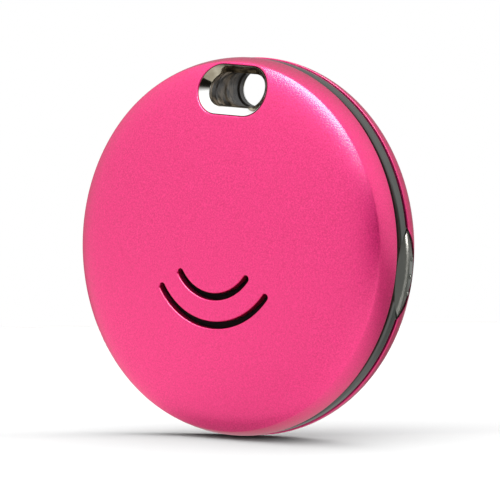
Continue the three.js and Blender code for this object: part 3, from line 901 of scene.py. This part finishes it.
def board_screw():
    """A domed screw with a cross recess and a threaded shank."""
    under, crown, shank, root, pitch = -2.45, -2.95, 0.5, 0.4, 0.22
    profile = [(0.0, crown), (0.35, crown + 0.01), (0.62, crown + 0.06), (0.82, crown + 0.16),
               (0.93, crown + 0.3), (0.95, under - 0.05), (0.93, under), (root, under)]
    y = under + 0.1
    while y < -0.55:
        profile += [(root, y), (shank, y + pitch * 0.4), (shank, y + pitch * 0.55)]
        y += pitch
    profile += [(root, y), (0.3, -0.3), (0.0, -0.3)]
    arms = [box(-0.45, 0.45, -4, crown + 0.28, -0.11, 0.11).turned(turned_by) for turned_by in (20, 110)]
    return cut(turn(profile, 48), *arms)


def positive_contact():
    """An upright sprung tab bent up from a soldered foot."""
    low, high = node_box("positive_contact")
    middle = CELL_AXIS[1]
    strip = 0.2
    bend = [(high.x, high.y), (high.x - strip, high.y), (high.x - strip, low.y + 2 * strip),
            (high.x - 2 * strip, low.y + strip), (low.x, low.y + strip), (low.x, low.y),
            (high.x - strip, low.y), (high.x, low.y + strip)]
    foot = extruded(rounded_profile(bend, 0.04, 2), middle - 1.3, middle + 1.3)
    tab = soft_box(high.x - strip, high.x, low.y + 0.35, high.y, low.z, high.z, 0.05)
    slits = [box(-12, -11, -0.6, 0.85, middle + side - 0.08, middle + side + 0.08) for side in (-0.8, 0.8)]
    return cut(join(foot, tab), *slits)


def negative_contact():
    """A ring on the board with three sprung fingers that end in rounded pads."""
    front, thickness, reach, root = -1.55, 0.1, 8.0, 4.5
    slope = math.tan(math.radians(3))
    under = [(root, front), (5.0, front), (reach - 0.1, front + slope * (reach - 5.1))]
    over = [(reach - 0.1, front + slope * (reach - 5.1) + thickness), (reach - 0.5, front + 0.28),
            (reach - 0.9, front + slope * (reach - 5.9) + thickness), (5.0, front + thickness),
            (root, front + thickness)]
    finger = extruded(under + over, -0.7, 0.7)
    fingers = [finger.turned(angle) for angle in (90, 210, 330)]
    whole = join(ring(2.2, 5.0, front, front + thickness, 0.03, 96), *fingers)
    return at_cell(whole)


def cell_can():
    """The can: a rounded shoulder, a turned groove near its edge, and a crimped lip."""
    rear, wall, radius, front = 2.0, 0.25, 10.0, -1.2
    profile = [(0, rear - wall), (radius - wall - 0.1, rear - wall), (radius - wall, rear - wall - 0.1),
               (radius - wall, front + 0.5), (radius - 0.12, front + 0.33), (radius, front + 0.45)]
    profile += arc((radius - 0.25, rear - 0.25), 0.25, 0, 90, 6)
    profile += [(9.1, rear), (9.02, rear - 0.05), (8.84, rear - 0.05), (8.76, rear), (0, rear)]
    return at_cell(turn(profile, 160))


def cell_cap():
    """The negative cap: a shallow cup with a raised line round its face."""
    front, wall, radius, rear = -1.2, 0.25, 8.85, 1.0
    profile = [(0, front), (6.6, front), (6.7, front + 0.04), (6.9, front + 0.04), (7.0, front)]
    profile += arc((radius - 0.3, front + 0.3), 0.3, -90, 0, 6)
    profile += [(radius, rear), (radius - wall, rear), (radius - wall, front + 1.5 * wall),
                (radius - 1.5 * wall, front + wall), (0, front + wall)]
    return at_cell(turn(profile, 128))


def sounder_contact(node):
    """A leaf folded like a C, with rounded bends."""
    low, high = node_box(node)
    leaf = 0.1
    outline = [(low.x, high.y), (high.x, high.y), (high.x, high.y - leaf), (low.x + leaf, high.y - leaf),
               (low.x + leaf, low.y + leaf), (high.x, low.y + leaf), (high.x, low.y), (low.x, low.y)]
    return extruded(rounded_profile(outline, 0.05, 3), low.z, high.z)


def acoustic_mesh():
    """An arc of mesh behind both sound slots."""
    inner, outer, half_angle = 4.0, 8.1, 62
    low, high = node_box("acoustic_mesh")
    corners = [(inner, low.y), (outer, low.y), (outer, high.y), (inner, high.y)]
    return arc_ring(rounded_profile(corners, 0.03, 2), -90 - half_angle, -90 + half_angle, 96)


# ---- Materials ----


def add_node(tree, kind, *inputs, output=0, **settings):
    """Adds a node, feeds its inputs in order (None skips one) and returns one output."""
    made = tree.nodes.new(kind)
    for key, value in settings.items():
        setattr(made, key, value)
    live = [socket for socket in made.inputs if socket.enabled]
    for socket, value in zip(live, inputs):
        if isinstance(value, bpy.types.NodeSocket):
            tree.links.new(value, socket)
        elif value is not None:
            socket.default_value = value
    return made.outputs[output]


class Finish:
    """A procedural material; its textures are laid out in millimetres."""

    def __init__(self, name, metallic=0.0, **sockets):
        self.material = bpy.data.materials.new(name)
        self.material.use_nodes = True
        self.tree = self.material.node_tree
        self.shader = self.tree.nodes["Principled BSDF"]
        self.shader.inputs["Metallic"].default_value = metallic
        for socket, value in sockets.items():
            self.shader.inputs[socket.replace("_", " ")].default_value = value
        place = self.tree.nodes.new("ShaderNodeTexCoord")
        self.millimetres = self.node("ShaderNodeVectorMath", place.outputs["Object"], operation="SCALE")
        self.millimetres.node.inputs["Scale"].default_value = 1 / MM

    def node(self, kind, *inputs, **settings):
        return add_node(self.tree, kind, *inputs, **settings)

    def maths(self, operation, a, b=None, c=None):
        return self.node("ShaderNodeMath", a, b, c, operation=operation)

    def stretched(self, x, y, z):
        return self.node("ShaderNodeVectorMath", self.millimetres, (x, y, z), operation="MULTIPLY")

    def axis(self, index):
        """One coordinate, in millimetres: 0 is X, 1 is Y and 2 is Z."""
        return self.node("ShaderNodeSeparateXYZ", self.millimetres, output=index)

    def about(self, x, z):
        """Distance in millimetres from an axis along Y, at (x, z) about the disc's centre."""
        away = self.node("ShaderNodeVectorMath", self.millimetres, (-x, 0, -z - CENTRE_Z), operation="ADD")
        flat = self.node("ShaderNodeVectorMath", away, (1, 0, 1), operation="MULTIPLY")
        return self.node("ShaderNodeVectorMath", flat, output=1, operation="LENGTH")

    def noise(self, size, detail=2.0, vector=None):
        """Noise with features of about this size, from 0 to 1."""
        return self.node("ShaderNodeTexNoise", vector or self.millimetres, 1 / size, detail)

    def cells(self, size):
        """Distance from the middle of the nearest cell, as a share of the cells' size."""
        return self.node("ShaderNodeTexVoronoi", self.millimetres, 1 / size)

    def spread(self, value, start, end, low=0.0, high=1.0):
        return self.node("ShaderNodeMapRange", value, start, end, low, high)

    def even(self, noise, low=0.0, high=1.0):
        """Noise, with the range that it mostly stays in spread from low to high."""
        return self.spread(noise, 0.3, 0.7, low, high)

    def blend(self, share, low, high):
        """A colour between two; each is a colour or another node's output."""
        pair = [c if isinstance(c, bpy.types.NodeSocket) else (*c, 1) for c in (low, high)]
        return self.node("ShaderNodeMix", share, *pair, data_type="RGBA", output=2)

    def set(self, socket, value):
        self.tree.links.new(value, self.shader.inputs[socket])

    def bump(self, height, depth, strength=1.0, sockets=("Normal", "Coat Normal")):
        """Raises the surface by up to depth millimetres where height is 1."""
        made = self.tree.nodes.new("ShaderNodeBump")
        made.inputs["Strength"].default_value = strength
        made.inputs["Distance"].default_value = depth * MM
        self.tree.links.new(height, made.inputs["Height"])
        for socket in sockets:
            self.set(socket, made.outputs["Normal"])


def anodised_pink():
    """Bead-blasted aluminium under a clear anodised layer: a fine grain, slightly uneven dye."""
    look = Finish("anodised_pink", 1.0, Coat_Weight=1.0, Coat_Roughness=0.25, Coat_IOR=1.55,
                  Specular_Tint=(0.85, 0.12, 0.35, 1))
    grain = look.noise(0.14, 2.0)
    dye = look.noise(3.5, 2.0)
    speckle = look.blend(look.even(grain), (0.74, 0.008, 0.15), (0.95, 0.022, 0.24))
    look.set("Base Color", look.blend(look.even(dye, 0.0, 0.25), speckle, (0.84, 0.014, 0.19)))
    look.set("Roughness", look.even(grain, 0.36, 0.48))
    look.bump(grain, 0.012, 0.7, ["Normal"])
    look.bump(grain, 0.03, 0.8, ["Coat Normal"])
    return look.material


def bright_metal():
    """Polished chamfer, with faint hairlines round it and a little haze. It is bright below, and its
    upper half has a painted olive reflection with painted shade, darkest at the top."""
    look = Finish("bright_metal", 1.0)
    haze = look.noise(1.6, 3.0)
    lines = look.noise(0.05, 1.0, look.stretched(1.0, 0.15, 1.0))
    height = look.axis(2)
    polished = look.blend(haze, (0.80, 0.80, 0.79), (0.92, 0.92, 0.91))
    # Painted reflection: olive over the upper half, going to painted shade, nearly black, at the top.
    painted_olive_reflection = look.blend(look.spread(haze, 0.35, 0.65), (0.24, 0.21, 0.15), (0.44, 0.4, 0.31))
    painted_upper_reflection = look.blend(look.spread(height, 1.9, 2.5), painted_olive_reflection, (0.025, 0.022, 0.018))
    # Below the middle the metal keeps its own bright colour; above it the painted reflection takes over.
    look.set("Base Color", look.blend(look.spread(height, -0.3, 0.3), polished, painted_upper_reflection))
    look.set("Roughness", look.even(lines, 0.05, 0.13))
    look.bump(lines, 0.0008, 0.4)
    return look.material


def moulded(name, dark, light, smooth, rough, texture=0.25, depth=0.004, **sockets):
    """A moulded plastic or rubber: fine spark-eroded texture and slow colour drift."""
    look = Finish(name, 0.0, **sockets)
    drift = look.noise(2.2, 3.0)
    fine = look.noise(texture, 2.0)
    look.set("Base Color", look.blend(look.even(drift), dark, light))
    look.set("Roughness", look.even(fine, smooth, rough))
    look.bump(fine, depth, 0.5)
    return look.material


def sleeve_plastic():
    """The dark plastic inside the bore, streaked lengthwise. The streaking carries a painted brown
    reflection, and painted shade darkens both ends of the bore.
    """
    look = Finish("sleeve_plastic", 0.0, IOR=1.7)
    # Drawn-out streaking: it drives the bump, which is real texture, and also a painted brown reflection.
    streaks_and_sheen = look.noise(0.45, 4.0, look.stretched(0.6, 1.0, 0.35))
    fine = look.noise(0.12, 2.0)
    depth = look.axis(1)
    # Painted shade at the front and rear ends of the bore, set by depth along Y.
    painted_end_shade = look.maths("MULTIPLY", look.spread(depth, -4.0, -3.2, 0.05, 1.0),
                         look.spread(depth, 0.0, 1.2, 1.0, 0.05))
    # Brown where the painted reflection shows, and near black where the painted shade falls.
    tone = look.maths("MULTIPLY", look.spread(streaks_and_sheen, 0.43, 0.6, 0.08, 1.0), painted_end_shade)
    look.set("Base Color", look.blend(tone, (0.008, 0.006, 0.005), (0.36, 0.29, 0.21)))
    look.set("Roughness", look.even(fine, 0.26, 0.4))
    look.bump(streaks_and_sheen, 0.03, 0.6)
    return look.material


def brushed(name, dark, light, smooth, rough, size=0.12):
    """A drawn or brushed metal."""
    look = Finish(name, 1.0)
    lines = look.noise(size, 2.0, look.stretched(1.0, 1.0, 0.06))
    patina = look.noise(2.5, 3.0)
    look.set("Base Color", look.blend(patina, dark, light))
    look.set("Roughness", look.even(lines, smooth, rough))
    look.bump(lines, 0.002, 0.5)
    return look.material


def lathe_turned(name, dark, light, smooth, rough, axis):
    """A metal with fine rings about an axis and a slow drift of patina."""
    look = Finish(name, 1.0)
    radius = look.about(*axis)
    rings = look.noise(0.09, 3.0, look.node("ShaderNodeCombineXYZ", radius, 0.0, 0.0))
    patina = look.noise(3.0, 4.0)
    scuffs = look.noise(0.5, 4.0, look.stretched(0.2, 1.0, 1.0))
    tone = look.blend(look.even(patina), dark, light)
    darker = look.blend(look.spread(scuffs, 0.62, 0.8, 0.0, 0.35), tone, dark)
    look.set("Base Color", darker)
    look.set("Roughness", look.even(rings, smooth, rough))
    look.bump(rings, 0.004, 0.6)
    return look.material


def circuit_mask():
    """Green solder mask over copper traces, with plated vias and bare pads round the screws."""
    look = Finish("board", 0.0, Coat_Weight=0.3, Coat_Roughness=0.2)
    x, z = look.axis(0), look.axis(2)
    blocks = look.node("ShaderNodeVectorMath", look.millimetres, (2.4, 9.0, 1.8), operation="SNAP")
    region = look.noise(2.0, 0.0, blocks)
    tracks = []
    for coordinate in (x, z):
        place = look.maths("FRACT", look.maths("DIVIDE", coordinate, 0.48))
        off_centre = look.maths("ABSOLUTE", look.maths("SUBTRACT", place, 0.5))
        tracks.append(look.maths("LESS_THAN", off_centre, 0.2))
    across = look.maths("GREATER_THAN", region, 0.5)
    track = look.node("ShaderNodeMix", across, *tracks, data_type="FLOAT")
    poured = look.maths("GREATER_THAN", region, 0.62)
    copper = look.maths("MAXIMUM", track, poured)
    vias = look.maths("LESS_THAN", look.cells(1.5), 0.1)
    pads = vias
    for place in SCREW_PLACES:
        pads = look.maths("MAXIMUM", pads, look.maths("LESS_THAN", look.about(*place), 1.15))
    mask = look.blend(copper, (0.008, 0.06, 0.03), (0.015, 0.12, 0.055))
    look.set("Base Color", look.blend(pads, mask, (0.85, 0.6, 0.25)))
    look.set("Metallic", pads)
    look.set("Roughness", look.even(look.noise(0.3), 0.28, 0.4))
    look.bump(look.maths("MAXIMUM", copper, pads), 0.02, 0.6)
    return look.material


def woven_mesh():
    """Fine black woven cloth."""
    look = Finish("mesh", 0.0, Roughness=0.8, Specular_IOR_Level=0.2)
    waves = []
    for index in (0, 2):
        phase = look.maths("MULTIPLY", look.axis(index), 22.0)
        waves.append(look.maths("ABSOLUTE", look.maths("SINE", phase)))
    weave = look.maths("MULTIPLY", *waves)
    look.set("Base Color", look.blend(weave, (0.001, 0.001, 0.001), (0.008, 0.007, 0.007)))
    look.bump(weave, 0.03, 0.8)
    return look.material


# Plain moulded looks, in the order of moulded's arguments.
MOULDED = {
    "inner_plastic": ((0.018, 0.018, 0.019), (0.028, 0.028, 0.03), 0.4, 0.55),
    "plunger_plastic": ((0.55, 0.54, 0.5), (0.66, 0.65, 0.6), 0.35, 0.45),
    "seal_rubber": ((0.012, 0.012, 0.012), (0.022, 0.022, 0.022), 0.6, 0.75),
    "adhesive": ((0.02, 0.02, 0.02), (0.04, 0.04, 0.038), 0.5, 0.8, 0.12, 0.01),
    "chip_resin": ((0.012, 0.012, 0.013), (0.022, 0.022, 0.023), 0.35, 0.5, 0.08),
    "ceramic_body": ((0.62, 0.58, 0.5), (0.74, 0.7, 0.62), 0.4, 0.55, 0.15),
    "capacitor_body": ((0.3, 0.19, 0.1), (0.4, 0.27, 0.16), 0.35, 0.5, 0.1),
    "ferrite": ((0.05, 0.05, 0.048), (0.09, 0.088, 0.082), 0.5, 0.7, 0.1, 0.01),
    "cell_seal": ((0.03, 0.05, 0.12), (0.05, 0.075, 0.16), 0.4, 0.5),
    "cell_electrodes": ((0.02, 0.02, 0.022), (0.06, 0.06, 0.062), 0.7, 0.9, 0.12, 0.02),
}

MATERIALS = {
    "anodised_pink": anodised_pink(),
    "bright_metal": bright_metal(),
    "dark_gloss_plastic": moulded(
        "dark_gloss_plastic", (0.03, 0.036, 0.029), (0.042, 0.048, 0.04), 0.16, 0.26, IOR=1.7),
    "sleeve_plastic": sleeve_plastic(),
    "button_plastic": moulded(
        "button_plastic", (0.018, 0.02, 0.017), (0.028, 0.03, 0.026), 0.16, 0.22, IOR=1.5),
    "board": circuit_mask(),
    "plated_steel": brushed("plated_steel", (0.5, 0.5, 0.5), (0.64, 0.64, 0.64), 0.2, 0.34),
    "cell_steel": lathe_turned("cell_steel", (0.5, 0.5, 0.49), (0.66, 0.66, 0.65), 0.2, 0.36, CELL_AXIS),
    "contact_gold": brushed("contact_gold", (0.75, 0.52, 0.2), (0.9, 0.66, 0.3), 0.18, 0.3),
    "sounder_brass": lathe_turned(
        "sounder_brass", (0.55, 0.36, 0.12), (0.72, 0.5, 0.2), 0.22, 0.4, (0.0, SOUNDER_Z)),
    "mesh": woven_mesh(),
}
MATERIALS.update((name, moulded(name, *values)) for name, values in MOULDED.items())


# ---- Pieces ----


def fit(piece, name, body, slot, node, *finishes, **options):
    """Places a piece instead of its CAD node, in its slot's material or in the finishes named."""
    materials = [MATERIALS[finish] for finish in finishes or (slot,)]
    return piece.place(name, body, materials, slot, [node], **options)


def fit_terminal_block(name, slot, node, terminal):
    """Places a ceramic block whose ends are plated for this length."""
    low, high = node_box(node)

    def pick(centre):
        return int(not low.x + terminal < centre.x < high.x - terminal)

    fit(terminal_block(node, terminal), name, "case", slot, node, slot, "plated_steel", pick=pick)


covers = [
    fit(front_cover(), "front_cover_shell", "case", "anodised_pink", "front_cover"),
    fit(back_cover(), "back_cover_shell", "back", "anodised_pink", "back_cover"),
]
fit(bezel(0), "front_bore_bezel", "case", "bright_metal", "front_bezel")
fit(bezel(1), "rear_bore_bezel", "back", "bright_metal", "rear_bezel")
fit(bore_sleeve(), "key_ring_sleeve", "case", "dark_gloss_plastic", "bore_sleeve", "sleeve_plastic")
fit(frame_body(), "frame_moulding", "case", "dark_gloss_plastic", "frame", rounded=0.03, steps=1)
button = fit(side_button(), "button_cap", "button", "button_plastic", "side_button")

fit(snap_ring(), "snap_ring_hooks", "back", "inner_plastic", "snap_ring")
fit(ring_round_sleeve("door_seal", 15.7, 1.53, 0.11), "door_gasket", "case", "seal_rubber", "door_seal")
fit(ring_round_sleeve("front_adhesive", 15.65, -2.5, 0.03), "adhesive_ring", "case", "adhesive",
    "front_adhesive")
fit(button_seal(), "button_gasket", "case", "seal_rubber", "button_seal")
fit(switch_body(), "switch_housing", "case", "inner_plastic", "switch_body")
fit(block_of("switch_plunger", 0.09), "switch_pusher", "plunger", "plunger_plastic", "switch_plunger")

fit(circuit_board(), "board_panel", "case", "board", "circuit_board")
fit(resin_chip("radio_chip"), "radio_chip_body", "case", "chip_resin", "radio_chip")
fit(resin_chip("driver_chip"), "driver_chip_body", "case", "chip_resin", "driver_chip")
fit(crystal(), "crystal_lid", "case", "plated_steel", "crystal")
fit(inductor(), "inductor_block", "case", "ferrite", "inductor")
fit_terminal_block("antenna_block", "ceramic_body", "chip_antenna", 0.7)
for number in range(1, 5):
    fit_terminal_block(f"capacitor_body_{number}", "capacitor_body", f"capacitor_{number}", 0.36)
for number, screw in enumerate(at_screws(board_screw()), 1):
    fit(screw, f"cross_screw_{number}", "case", "plated_steel", f"board_screw_{number}")

fit(battery_cradle(), "cell_cradle", "case", "inner_plastic", "battery_cradle")
fit(positive_contact(), "positive_tab", "case", "contact_gold", "positive_contact")
fit(negative_contact(), "negative_spring", "case", "contact_gold", "negative_contact")
fit(cell_can(), "coin_cell_can", "cell", "cell_steel", "cell_can")
fit(cell_cap(), "coin_cell_cap", "cell", "cell_steel", "cell_cap")
fit(at_cell(ring(8.95, 9.65, -1.0, 1.0, 0.1, 128)), "coin_cell_ring", "cell", "cell_seal", "cell_gasket")
fit(at_cell(disc(8.35, -0.9, 1.7, 0.1)), "coin_cell_core", "cell", "cell_electrodes", "cell_core")

fit(sounder_carrier(), "sounder_holder", "case", "inner_plastic", "sounder_carrier")
for stacked, name, slot, node in (
        (disc(8.2, -3.55, -3.4, 0.04), "sounder_disc", "sounder_brass", "sounder_plate"),
        (disc(6.0, -3.37, -3.2, 0.04), "ceramic_disc", "ceramic_body", "sounder_ceramic"),
        (ring(7.4, 8.1, -3.75, -3.6, 0.05), "foam_ring", "seal_rubber", "sounder_gasket")):
    fit(stacked.moved(z=SOUNDER_Z), name, "case", slot, node)
fit(acoustic_mesh(), "slot_mesh", "case", "mesh", "acoustic_mesh")
for number in (1, 2):
    node = f"sounder_contact_{number}"
    fit(sounder_contact(node), f"sounder_leaf_{number}", "case", "contact_gold", node)


# ---- Camera, light, floor ----

CAMERA_YAW = 36.34
CAMERA_ELEVATION = 3.63
CAMERA_ROLL = math.radians(3.42)
CAMERA_DISTANCE = 600
CAMERA_LENS = 454.0
CAMERA_TARGET = Vector((0.29, 0.0, -0.33))


def aim(obj, place, target, roll=0.0):
    """Puts an object at place (millimetres about the disc's centre), facing target."""
    back = (Vector(place) - Vector(target)).normalized()
    across = Vector((0, 0, 1)).cross(back).normalized()
    up = back.cross(across)
    right = math.cos(roll) * across + math.sin(roll) * up
    above = back.cross(right)
    turn_matrix = Matrix((right, above, back)).transposed().to_4x4()
    origin = (Vector(place) + Vector((0, 0, CENTRE_Z))) * MM
    obj.matrix_world = Matrix.Translation(origin) @ turn_matrix


def add_camera():
    data = bpy.data.cameras.new("photo_camera")
    data.lens = CAMERA_LENS
    data.sensor_width = 36
    data.clip_start = 0.01
    data.clip_end = 20
    camera = new_object("photo_camera", data)
    sight = direction_from(CAMERA_YAW, CAMERA_ELEVATION)
    aim(camera, CAMERA_TARGET + sight * CAMERA_DISTANCE, CAMERA_TARGET, CAMERA_ROLL)
    bpy.context.scene.camera = camera


def direction_from(azimuth, elevation):
    a, e = math.radians(azimuth), math.radians(elevation)
    return Vector((math.sin(a) * math.cos(e), -math.cos(a) * math.cos(e), math.sin(e)))


def softbox(name, azimuth, elevation, distance, width, height, strength, roll):
    """A rectangular light. Azimuth 0 is in front of the tag and 90 is on its button side."""
    data = bpy.data.lights.new(name, "AREA")
    data.shape = "RECTANGLE"
    data.size = width * MM
    data.size_y = height * MM
    data.energy = strength * width * height * MM * MM * math.pi
    light = new_object(name, data)
    aim(light, direction_from(azimuth, elevation) * distance, (0, 0, 0), math.radians(roll))
    return light


ROOM_LOW = 0.95
ROOM_HIGH = 1.3
# Dark patches of the room: (direction, stretch, (from, to, strength in it, strength outside)).
ROOM_PATCHES = (
    ((0.78, -0.62, -0.05), (1.0, 1.0, 1.7), (0.62, 1.08, 0.02, 1.0)),
    ((-0.42, 0.9, -0.05), (1.0, 1.0, 1.0), (0.6, 1.3, 0.4, 1.0)),
)
FLOOR_SIDE_TILT = math.radians(5.0)
FLOOR_FRONT_TILT = math.radians(6.0)
FLOOR_FOLD = 3.0
FLOOR_GAP = 0.05
FLOOR_ROWS = 48
FLOOR_RADIUS = 450
# The floor's painted glow: (from, to, glow at the first, glow at the second), in millimetres.
# # Where the glow drops near the tag's foot, beneath it and close behind it, the drop is painted shadow.
GLOW_ROUND_FOOT = (1, 18, 0.95, 1.15)
GLOW_BENEATH = (4, 13, 0.6, 1.0)
GLOW_AHEAD = (-6.5, -4, 1.0, 0.0)
GLOW_BEHIND = (-3, 14, 1.0, 0.3)
GLOW_FAR_BEHIND = (50, 130, 0.0, 0.9)
LAMP_FROM = (36, 62)
LAMP_ANGLE = math.radians(125)
LAMP_ENERGY = 64.0
# Softboxes: azimuth, elevation, distance, width, height, strength, roll.
CREASE_LIGHT = (-4, 54, 450, 340, 120, 21, -31)
BUTTON_STRIP = (111, -6, 450, 50, 620, 50, 0)


def light_only(light, *objects):
    """Lets a light fall on these objects and no others."""
    receivers = bpy.data.collections.new(light.name + "_receivers")
    for obj in objects:
        receivers.objects.link(obj)
    light.light_linking.receiver_collection = receivers


def add_world():
    """White behind the tag. What the tag reflects is a pale room, brighter above, with one dark
    patch beside the camera and one behind the tag."""
    world = bpy.data.worlds.new("studio")
    bpy.context.scene.world = world
    world.use_nodes = True
    node = partial(add_node, world.node_tree)
    direction = node("ShaderNodeTexCoord")
    height = node("ShaderNodeSeparateXYZ", direction, output=2)
    lit = node("ShaderNodeMapRange", height, 0.05, 0.6, ROOM_LOW, ROOM_HIGH)
    for centre, stretch, fade in ROOM_PATCHES:
        away = node("ShaderNodeVectorMath", direction, centre, operation="SUBTRACT")
        stretched = node("ShaderNodeVectorMath", away, stretch, operation="MULTIPLY")
        distance = node("ShaderNodeVectorMath", stretched, output=1, operation="LENGTH")
        patch = node("ShaderNodeMapRange", distance, *fade)
        lit = node("ShaderNodeMath", lit, patch, operation="MULTIPLY")
    camera_ray = node("ShaderNodeLightPath")
    strength = node("ShaderNodeMix", camera_ray, lit, 1.0, data_type="FLOAT")
    background = world.node_tree.nodes["Background"]
    world.node_tree.links.new(strength, background.inputs["Strength"])
    background.inputs["Color"].default_value = (1, 1, 1, 1)


def pale_floor():
    """Pale to the camera. To everything else it is black and glows with painted light: less, as
    painted shadow, beneath the tag and close behind it, and more again far behind it."""
    look = Finish("pale_floor", 0.0, Roughness=0.9, Specular_IOR_Level=0.0)
    tone = look.noise(120, 2.0)
    seen = look.blend(tone, (0.058, 0.058, 0.058), (0.062, 0.062, 0.062))
    camera_ray = look.node("ShaderNodeLightPath")
    look.set("Base Color", look.blend(camera_ray, (0.0, 0.0, 0.0), seen))
    aside, depth = look.about(0, -RADIUS), look.axis(1)
    # Painted shadow: the painted glow drops beneath the tag and close behind it.
    beneath = look.maths("MAXIMUM", look.spread(aside, *GLOW_BENEATH), look.spread(depth, *GLOW_AHEAD))
    near = look.maths("MULTIPLY", look.spread(depth, *GLOW_BEHIND), beneath)
    behind = look.maths("MAXIMUM", near, look.spread(depth, *GLOW_FAR_BEHIND))
    glow = look.maths("MULTIPLY", look.spread(aside, *GLOW_ROUND_FOOT), behind)
    hidden = look.maths("SUBTRACT", 1.0, camera_ray)
    look.set("Emission Strength", look.maths("MULTIPLY", glow, hidden))
    look.shader.inputs["Emission Color"].default_value = (1, 1, 1, 1)
    return look.material


def floor_mesh():
    """A disc in rows across the camera's sight, tilted sideways and folded down in front."""
    forward = direction_from(CAMERA_YAW, 0)
    side_tilt = Matrix.Rotation(-FLOOR_SIDE_TILT, 3, "Y")
    points, faces = [], []
    for row in range(FLOOR_ROWS + 1):
        reach = FLOOR_RADIUS * (2 * row / FLOOR_ROWS - 1) ** 3
        half = math.sqrt(max(FLOOR_RADIUS ** 2 - reach ** 2, 1.0))
        fall = math.tan(FLOOR_FRONT_TILT) * soft_step(reach, FLOOR_FOLD)
        for side in (-1, 1):
            flat = forward * reach + Vector((-forward.y, forward.x, 0)) * half * side
            points.append((side_tilt @ flat) + Vector((0, 0, -RADIUS - fall - FLOOR_GAP + CENTRE_Z)))
        if row:
            faces.append((2 * row - 2, 2 * row - 1, 2 * row + 1, 2 * row))
    mesh = bpy.data.meshes.new("floor")
    mesh.from_pydata([p * MM for p in points], [], faces)
    mesh.shade_smooth()
    return mesh


def add_floor():
    """The floor that the rim rests on, with a lamp of its own."""
    floor = new_object("floor", floor_mesh())
    floor.data.materials.append(pale_floor())
    data = bpy.data.lights.new("floor_lamp", "SUN")
    data.angle = LAMP_ANGLE
    data.energy = LAMP_ENERGY
    lamp = new_object("floor_lamp", data)
    aim(lamp, direction_from(*LAMP_FROM) * 500, (0, 0, 0))
    light_only(lamp, floor)


add_camera()
add_world()
add_floor()
crease_light = softbox("crease_light", *CREASE_LIGHT)
crease_light.data.color = (0.3, 1.0, 0.48)
light_only(crease_light, *covers)
button_strip = softbox("button_strip", *BUTTON_STRIP)
button_strip.data.color = (1.0, 0.98, 0.9)
light_only(button_strip, button)
button_strip.light_linking.blocker_collection = button_strip.light_linking.receiver_collection
bpy.context.scene.view_settings.view_transform = "Standard"
